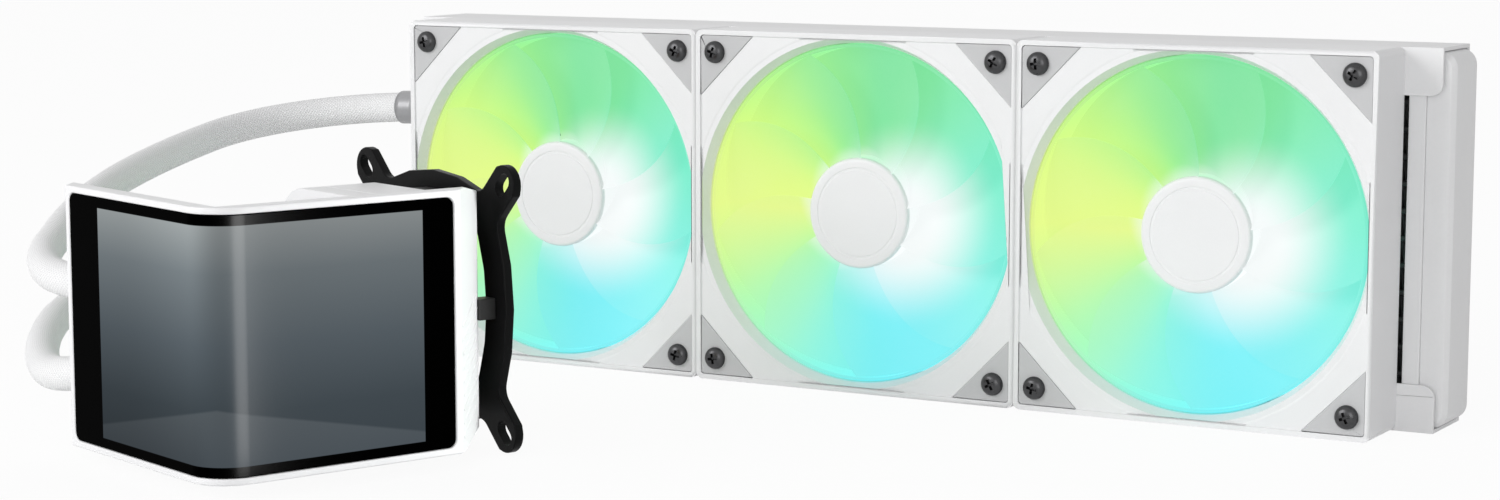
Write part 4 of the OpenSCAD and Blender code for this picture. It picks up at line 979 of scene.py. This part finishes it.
def slot_outline(a, b, depth, steps=10):
    """Points of one slot at a depth of the block; a and b choose the ear."""
    lean = math.atan2(b, a)
    points = []
    for end in (1, -1):
        across = BRACKET_ACROSS + a * EAR_OFF + end * SLOT_RUN * math.cos(lean)
        up = BRACKET_UP + b * EAR_OFF + end * SLOT_RUN * math.sin(lean)
        for k in range(steps + 1):
            turn = lean - end * math.pi / 2 + math.pi * k / steps
            points.append(block_point(depth, across + SLOT_R * math.cos(turn), up + SLOT_R * math.sin(turn)))
    return points


cutter = prism_draft("slot_cutter", [[slot_outline(a, b, depth) for depth in (CUT_FROM, CUT_TO)]
                                     for a in (-1, 1) for b in (-1, 1)])
softened("mounting_bracket", 0.45, cutter=cutter)
bpy.data.objects.remove(cutter)

# %% [markdown]
# ## Crimp sleeves
# Where a hose meets the radiator, a short metal sleeve is pressed round its end. It follows the first
# millimetres of the hose's own route, so the same sweep makes it.

# %% Crimp sleeves on the hoses
CRIMP_LEN, CRIMP_R = 8.6 * MM, 6.2 * MM
for side, path in routes.items():
    held = [spot for spot in path if (spot - path[0]).length < CRIMP_LEN]
    hand_over(swept_tube(f"{side}_crimp_sleeve", held, CRIMP_R), "cooler", "collar_metal")

# %% [markdown]
# ## The fan rotors
# A rotor is moulded in one piece: a cup over the motor, nine blades swept forward, thin at their edges,
# that fall from front to back, and a ring that joins their tips. One blade is drawn as a grid over the
# chord and the span, the tree turns nine copies of it about the axis, and the cup and the ring are
# profiles turned on a lathe. The frosted side of the cup and the ring glow with the blades.

# %% One blade
FAN_X, FAN_Z, FAN_BACK_Y = (-116.0, 4.0, 124.0), 60.0, 121.0
HUB_R, HUB_WALL, HUB_FRONT, HUB_BACK = 18.6, 1.6, 20.0, 5.2
TIP_R, RING_T = 56.6, 1.2
BLADE_COUNT, BLADE_T, BLADE_SWEEP, ROOT_CHORD, TIP_CHORD = 9, 1.6, 16.0, 64.0, 52.0
BLADE_EDGE, BLADE_CAMBER, BLADE_TAPER = 0.3, 0.35, 0.25
SHARP_BLADE, SHARP_TURNED = math.radians(50), math.radians(32)


def fan_point(radius, degrees, depth):
    """A point of a fan on the Y axis: depth is measured from the fan's back face towards the front."""
    turn = math.radians(degrees)
    return Vector((radius * math.cos(turn), FAN_BACK_Y - depth, radius * math.sin(turn))) * MM


def blade_draft(rows=14, columns=24):
    top, bottom = [], []
    fall = HUB_FRONT - HUB_BACK - BLADE_T
    root, tip = HUB_R - HUB_WALL / 2, TIP_R - RING_T / 2
    for i in range(rows + 1):
        span = i / rows
        radius = root + (tip - root) * span
        covers = ROOT_CHORD + (TIP_CHORD - ROOT_CHORD) * span
        for j in range(columns + 1):
            chord = j / columns
            degrees = BLADE_SWEEP * span**2 + covers * (chord - 0.5)
            middle = HUB_FRONT - BLADE_T / 2 - fall * (chord + BLADE_CAMBER * chord * (1 - chord))
            belly = BLADE_EDGE + (1 - BLADE_EDGE) * (1 - (2 * chord - 1) ** 2)
            half = BLADE_T / 2 * belly * (1 - BLADE_TAPER * span)
            top.append(fan_point(radius, degrees, middle + half))
            bottom.append(fan_point(radius, degrees, middle - half))
    shift, wide = len(top), columns + 1
    faces = []
    for i in range(rows):
        for j in range(columns):
            a, b, c, d = i * wide + j, i * wide + j + 1, (i + 1) * wide + j + 1, (i + 1) * wide + j
            faces += [(a, b, c, d), (a + shift, d + shift, c + shift, b + shift)]
    rim = [j for j in range(columns)] + [i * wide + columns for i in range(rows)]
    rim += [rows * wide + j for j in range(columns, 0, -1)] + [i * wide for i in range(rows, 0, -1)]
    for a, b in zip(rim, rim[1:] + rim[:1]):
        faces.append((a, a + shift, b + shift, b))
    return draft_from("blade_draft", top + bottom, faces)


# %% The tree that turns the blades round the hub


def turned_copies():
    tree, given, out = new_tree("turned copies", Count="Int", Centre="Vector")
    points = add_node(tree, "GeometryNodePoints", Count=given["Count"])
    step = add_math("DIVIDE", 2 * math.pi, given["Count"])
    turn = times(tree.nodes.new("GeometryNodeInputIndex").outputs[0], step)
    about = add_node(tree, "ShaderNodeCombineXYZ", Y=turn)
    copies = copies_on(tree, points.outputs[0], given["Geometry"], Rotation=about.outputs[0])
    moved = add_node(tree, "GeometryNodeTransform", Geometry=copies, Translation=given["Centre"])
    return end_tree(tree, given, out, moved.outputs[0])


def map_disc(piece, fan_x):
    """The map that the glow follows: the piece seen from the front, in fan widths."""
    disc = piece.data.uv_layers.new(name="disc")
    for loop in piece.data.loops:
        spot = piece.data.vertices[loop.vertex_index].co
        across, up = spot.x - fan_x * MM, spot.z - FAN_Z * MM
        disc.data[loop.index].uv = (across / FAN_SIZE + 0.5, up / FAN_SIZE + 0.5)


TURNED_COPIES = turned_copies()
for n, fan_x in enumerate(FAN_X, 1):
    blades = grown(blade_draft(), TURNED_COPIES, f"rotor_blades_{n}", Count=BLADE_COUNT,
                   Centre=(fan_x * MM, 0.0, FAN_Z * MM), Finish=FINISHES["rotor_plastic"])
    blades.data.shade_smooth()
    blades.data.set_sharp_from_angle(angle=SHARP_BLADE)
    map_disc(blades, fan_x)
    hand_over(blades, f"fan_{n}_rotor", "rotor_plastic", f"fan_rotor_{n}")

# %% The hub cup and the tip ring


def lathe(name, profile, centre, sides=72, closed=False):
    """A profile of (radius, depth) in mm, turned about a fan's axis."""
    bm = bmesh.new()
    rings = []
    for radius, depth in profile:
        turns = [360 * k / sides for k in range(sides)]
        if radius:
            rings.append([bm.verts.new(fan_point(radius, turn, depth) + centre) for turn in turns])
        else:
            rings.append([bm.verts.new(fan_point(0, 0, depth) + centre)] * sides)
    for low, high in zip(rings, rings[1:] + rings[:closed]):
        for k in range(sides):
            n = (k + 1) % sides
            bm.faces.new(list(dict.fromkeys((low[k], low[n], high[n], high[k]))))
    piece = piece_from(name, bm)
    piece.data.shade_smooth()
    piece.data.set_sharp_from_angle(angle=SHARP_TURNED)
    return piece


def rounded_corner(radius, depth, r, steps=5):
    """The front outer corner of a profile, from its front face to its side."""
    turns = [math.pi / 2 * k / steps for k in range(steps + 1)]
    return [(radius - r + r * math.sin(turn), depth - r + r * math.cos(turn)) for turn in turns]


CAP_T, CAP_ROUND, GROOVE_R, GROOVE_W, GROOVE_T = 1.8, 1.2, 14.4, 1.0, 0.2
# The skirt widens at the back: mm outwards, and mm forward of the back
SKIRT_FLARE = [(0.0, 4.0), (0.7, 1.5), (2.4, 0.0)]
RING_EDGE = 0.3
CAP_PROFILE = [(0, HUB_FRONT), (GROOVE_R, HUB_FRONT), (GROOVE_R + GROOVE_T, HUB_FRONT - GROOVE_T),
               (GROOVE_R + GROOVE_W - GROOVE_T, HUB_FRONT - GROOVE_T), (GROOVE_R + GROOVE_W, HUB_FRONT),
               *rounded_corner(HUB_R, HUB_FRONT, CAP_ROUND), (HUB_R, HUB_FRONT - CAP_T),
               (0, HUB_FRONT - CAP_T)]
SKIRT_PROFILE = [(HUB_R, HUB_FRONT - CAP_T), *((HUB_R + out, HUB_BACK + up) for out, up in SKIRT_FLARE),
                 (HUB_R - HUB_WALL, HUB_BACK), (HUB_R - HUB_WALL, HUB_FRONT - CAP_T)]
RING_PROFILE = [(TIP_R, HUB_FRONT - RING_EDGE), (TIP_R, HUB_BACK), (TIP_R - RING_T, HUB_BACK),
                (TIP_R - RING_T, HUB_FRONT - RING_EDGE), (TIP_R - RING_T + RING_EDGE, HUB_FRONT),
                (TIP_R - RING_EDGE, HUB_FRONT)]
TURNED_PARTS = [("hub", CAP_PROFILE, "white_plastic", 72), ("skirt", SKIRT_PROFILE, "rotor_plastic", 72),
                ("ring", RING_PROFILE, "rotor_plastic", 144)]
for n, fan_x in enumerate(FAN_X, 1):
    centre = Vector((fan_x, 0, FAN_Z)) * MM
    for name, profile, slot, sides in TURNED_PARTS:
        turned = lathe(f"rotor_{name}_{n}", profile, centre, sides, closed=name != "hub")
        if slot == "rotor_plastic":
            map_disc(turned, fan_x)
        hand_over(turned, f"fan_{n}_rotor", slot)

# %% [markdown]
# ## Mouth rings
# The CAD rounds the mouth of each duct. In the photograph the mouth has a crisp edge and a leaning wall
# behind it, which shows as a grey crescent beside the glow. A thin ring on the rounding gives that edge:
# its front lies with the face of the frame, and its flanks stop at the frame's straight rim.

# %% Mouth rings
# The edge and the foot of the leaning wall, then the hidden back along the CAD's rounding
MOUTH_PROFILE = [(58.7, 24.3), (56.95, 20.3), (57.4, 20.3), (57.58, 21.4), (57.98, 22.4), (58.78, 23.4),
                 (59.45, 23.9), (60.5, 24.26)]
# The flanks end straight inside the frame's rim, the front a small step further in than the wall
INLET_HALF, INLET_STEP, FRONT_FROM = 58.2, 0.1, 59.0


def mouth_ring(name, middle):
    ring = lathe(name, MOUTH_PROFILE, middle, sides=144, closed=True)
    for vertex in ring.data.vertices:
        out_way = vertex.co - middle
        on_front = out_way.xz.length > FRONT_FROM * MM
        half = (INLET_HALF if on_front else INLET_HALF - INLET_STEP) * MM
        for axis in (0, 2):
            vertex.co[axis] = middle[axis] + max(-half, min(half, out_way[axis]))
    return ring


for n, fan_x in enumerate(FAN_X, 1):
    ring = mouth_ring(f"mouth_ring_{n}", Vector((fan_x, 0, FAN_Z)) * MM)
    hand_over(ring, "cooler", "white_plastic")

# %% [markdown]
# ## Fan screws
# Each fan is held by four dark pan-head screws. One screw is turned on the lathe, a cross is cut into its
# head with a Boolean, and a tree puts it on the twelve corners, each stopped at its own angle as a driver
# would leave it. The angles come from a fixed seed.

# %% One screw
SCREW_PROFILE = [(0, 27.1), (1.6, 27.05), (2.6, 26.8), (3.3, 26.3), (3.7, 25.6), (3.8, 25.0), (3.8, 24.75),
                 (3.6, 24.7), (1.7, 24.7), (1.7, -2.6), (1.2, -3.2), (0, -3.2)]
CROSS_HALF, CROSS_REACH, CROSS_TAPER = 0.55, 2.2, 0.6
CROSS_TOP, CROSS_FLOOR = 28.0, 25.6


def cross_outline(depth, share):
    """The driver's cross at a depth of the fan, drawn in by a share."""
    a, b = CROSS_HALF * share, CROSS_REACH * share
    corners = [(a, a), (a, b), (-a, b), (-a, a), (-b, a), (-b, -a),
               (-a, -a), (-a, -b), (a, -b), (a, -a), (b, -a), (b, a)]
    return [Vector((x, FAN_BACK_Y - depth, z)) * MM for x, z in corners]


def screw_draft():
    screw = lathe("screw_draft", SCREW_PROFILE, Vector((0, 0, 0)), sides=32)
    ends = cross_outline(CROSS_TOP, 1.0), cross_outline(CROSS_FLOOR, CROSS_TAPER)
    cutter = prism_draft("cross_cutter", [ends])
    cut_by(screw, cutter)
    done = plain_mesh(screw, "screw_cut")
    bpy.data.objects.remove(cutter)
    return done


# %% The tree that puts a piece on chosen spots
SCREW_OFF, SCREW_SEED = 52.5, 7


def placed_copies():
    tree, given, out = new_tree("placed copies", Spots="Object", Seed="Int")
    spots = add_node(tree, "GeometryNodeObjectInfo", Object=given["Spots"])
    angle = tree.nodes.new("FunctionNodeRandomValue")
    angle.data_type = "FLOAT"
    angle.inputs[3].default_value = math.pi
    fill(angle, Seed=given["Seed"])
    about = add_node(tree, "ShaderNodeCombineXYZ", Y=angle.outputs[1])
    copies = copies_on(tree, spots.outputs["Geometry"], given["Geometry"], Rotation=about.outputs[0])
    return end_tree(tree, given, out, copies)


corners = [((x + a * SCREW_OFF) * MM, 0.0, (FAN_Z + b * SCREW_OFF) * MM)
           for x in FAN_X for a in (-1, 1) for b in (-1, 1)]
spots = draft_from("screw_spots", corners, [])
screws = grown(screw_draft(), placed_copies(), "fan_screw_set", Spots=spots, Seed=SCREW_SEED,
               Finish=FINISHES["dark_screw"])
bpy.data.objects.remove(spots)
hand_over(screws, "cooler", "dark_screw", "fan_screws_1", "fan_screws_2", "fan_screws_3")

# %% [markdown]
# ## Radiator fins
# Between the flat water tubes run strips of thin aluminium, folded like a concertina. Their near-black
# colour is painted shade, which makes the slit between the fans and the tanks read dark. The CAD keeps a
# wide fold for its solids. Here one fold of two thin plates is drawn at its true spacing, and a tree lays
# it out in rows and columns through the whole core.

# %% Fin fold and its tree
RAIL_T, TUBE_T, TUBE_COUNT = 1.2, 2.0, 13
FIN_PITCH, FIN_T, FIN_H, FIN_GAP, FOLD_GAP = 1.6, 0.12, 6.5, 0.03, 0.05
FIN_ROWS = TUBE_COUNT + 1
FIN_ROOM = (FAN_SIZE / MM - 2 * RAIL_T - TUBE_COUNT * TUBE_T) / FIN_ROWS
CORE_LEFT, CORE_LEN, CORE_FRONT, CORE_BACK = -176.0, 360.0, 125.0, 144.0


def fin_draft():
    plates = []
    half, mid = FIN_T / 2, FIN_PITCH / 2
    for foot, head in ((FOLD_GAP, mid - FOLD_GAP), (FIN_PITCH - FOLD_GAP, mid + FOLD_GAP)):
        section = [(foot - half, 0), (foot + half, 0), (head + half, FIN_H), (head - half, FIN_H)]
        plates.append([[Vector((CORE_LEFT + x, y, RAIL_T + FIN_GAP + z)) * MM for x, z in section]
                       for y in (CORE_FRONT, CORE_BACK)])
    return prism_draft("fin_draft", plates)


def rows_of_copies():
    tree, given, out = new_tree("rows of copies", Columns="Int", Column_step="Vector", Rows="Int",
                                Row_step="Vector")
    shape = given["Geometry"]
    for count, step in (("Columns", "Column step"), ("Rows", "Row step")):
        line = add_node(tree, "GeometryNodeMeshLine", Count=given[count], Offset=given[step])
        shape = copies_on(tree, line.outputs[0], shape)
    return end_tree(tree, given, out, shape)


ROWS_OF_COPIES = rows_of_copies()
fins = grown(fin_draft(), ROWS_OF_COPIES, "folded_fins", Columns=int(CORE_LEN / FIN_PITCH),
             Column_step=(FIN_PITCH * MM, 0.0, 0.0), Rows=FIN_ROWS,
             Row_step=(0.0, 0.0, (FIN_ROOM + TUBE_T) * MM), Finish=FINISHES["core_metal"])
hand_over(fins, "cooler", "core_metal", "core_fins")

# %% [markdown]
# ## Ribs on the display's end
# The slanted end of the right display arm is bare at the top and has a field of fine slanting ribs below,
# moulded a quarter of a millimetre proud. One rib with a narrow crown is drawn on the face, and the same
# tree as for the fins stacks the copies upwards.

# %% Ribs
RIB_COUNT, RIB_PITCH, RIB_LOW, RIB_RISE = 9, 4.1, 9.0, 6.6
RIB_FROM, RIB_TO = 2.4, 23.4
# From the foot, which stands in the face, to the crown: height and half width in mm
RIB_SECTION = [(-0.15, 0.45), (0.168, 0.378), (0.28, 0.18)]
END_EDGE, FRAME_DEPTH = 82.6, 18.5
ALONG_END = (ALONG_RIGHT + ALONG_LEFT).normalized()
OUT_OF_END = (ALONG_RIGHT - ALONG_LEFT).normalized()


def rib_end(along, rise):
    foot = block_point(END_EDGE, 0.0, RIB_LOW + rise) + ALONG_END * (along * MM)
    outline = [(height, -half) for height, half in RIB_SECTION] + RIB_SECTION[::-1]
    return [foot + (OUT_OF_END * height + UPWARDS * up) * MM for height, up in outline]


rib = prism_draft("rib_draft", [(rib_end(RIB_FROM, 0.0), rib_end(RIB_TO, RIB_RISE))])
ribs = grown(rib, ROWS_OF_COPIES, "display_end_ribs", Columns=1, Column_step=(0.0, 0.0, 0.0),
             Rows=RIB_COUNT, Row_step=(0.0, 0.0, RIB_PITCH * MM), Finish=FINISHES["white_plastic"])
hand_over(ribs, "cooler", "white_plastic")

# %% [markdown]
# ## Two small lamps for the block
# A bent sheet of glass shows a bright line where it turns through the reflection of something pale, and a
# photographer stands a strip light beside it for that. The glass is coated and mirrors little, so the strip
# is bright, is seen by gloss only and is linked to the glass alone. The slanted end of the display turns
# away from the soft boxes, so a second lamp, linked to that frame, lifts it.

# %% Strip light and slant lamp
STRIP_AIM, STRIP_TURN, STRIP_AWAY = block_point(12.0, 12.0, 64.0), math.radians(-15.0), 0.055
STRIP_W, STRIP_H, STRIP_WATTS = 0.032, 0.126, 7.2
SLANT_AIM, SLANT_AWAY = block_point(END_EDGE + FRAME_DEPTH / 2, FRAME_DEPTH / 2, 43.5), 0.25
SLANT_SIZE, SLANT_WATTS = 0.12, 0.55


def light_only(lamp, *pieces):
    """The lamp lights these pieces and nothing else."""
    group = bpy.data.collections.new(f"lit by {lamp.name}")
    for piece in pieces:
        group.objects.link(piece)
    lamp.light_linking.receiver_collection = group


strip_way = Vector((math.cos(STRIP_TURN), math.sin(STRIP_TURN), 0))
strip = soft_box("strip_light", STRIP_AIM + strip_way * STRIP_AWAY, STRIP_AIM, STRIP_W, STRIP_WATTS)
strip.data.shape = "RECTANGLE"
strip.data.size_y = STRIP_H
strip.visible_diffuse = False
light_only(strip, bpy.data.objects["soft_display_glass"])
slant_lamp = soft_box("slant_lamp", SLANT_AIM + OUT_OF_END * SLANT_AWAY, SLANT_AIM, SLANT_SIZE, SLANT_WATTS)
light_only(slant_lamp, bpy.data.objects["soft_display_frame"], ribs)
print("strip light", STRIP_WATTS, "W, slant lamp", SLANT_WATTS, "W")

# %% Boxes
new_low, new_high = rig.bounds()
with open("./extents.json", "w") as size_file:
    json.dump({"cad": [list(cad_low), list(cad_high)], "visual": [list(new_low), list(new_high)]}, size_file)
print("visual box in mm:", in_mm(new_low), in_mm(new_high))
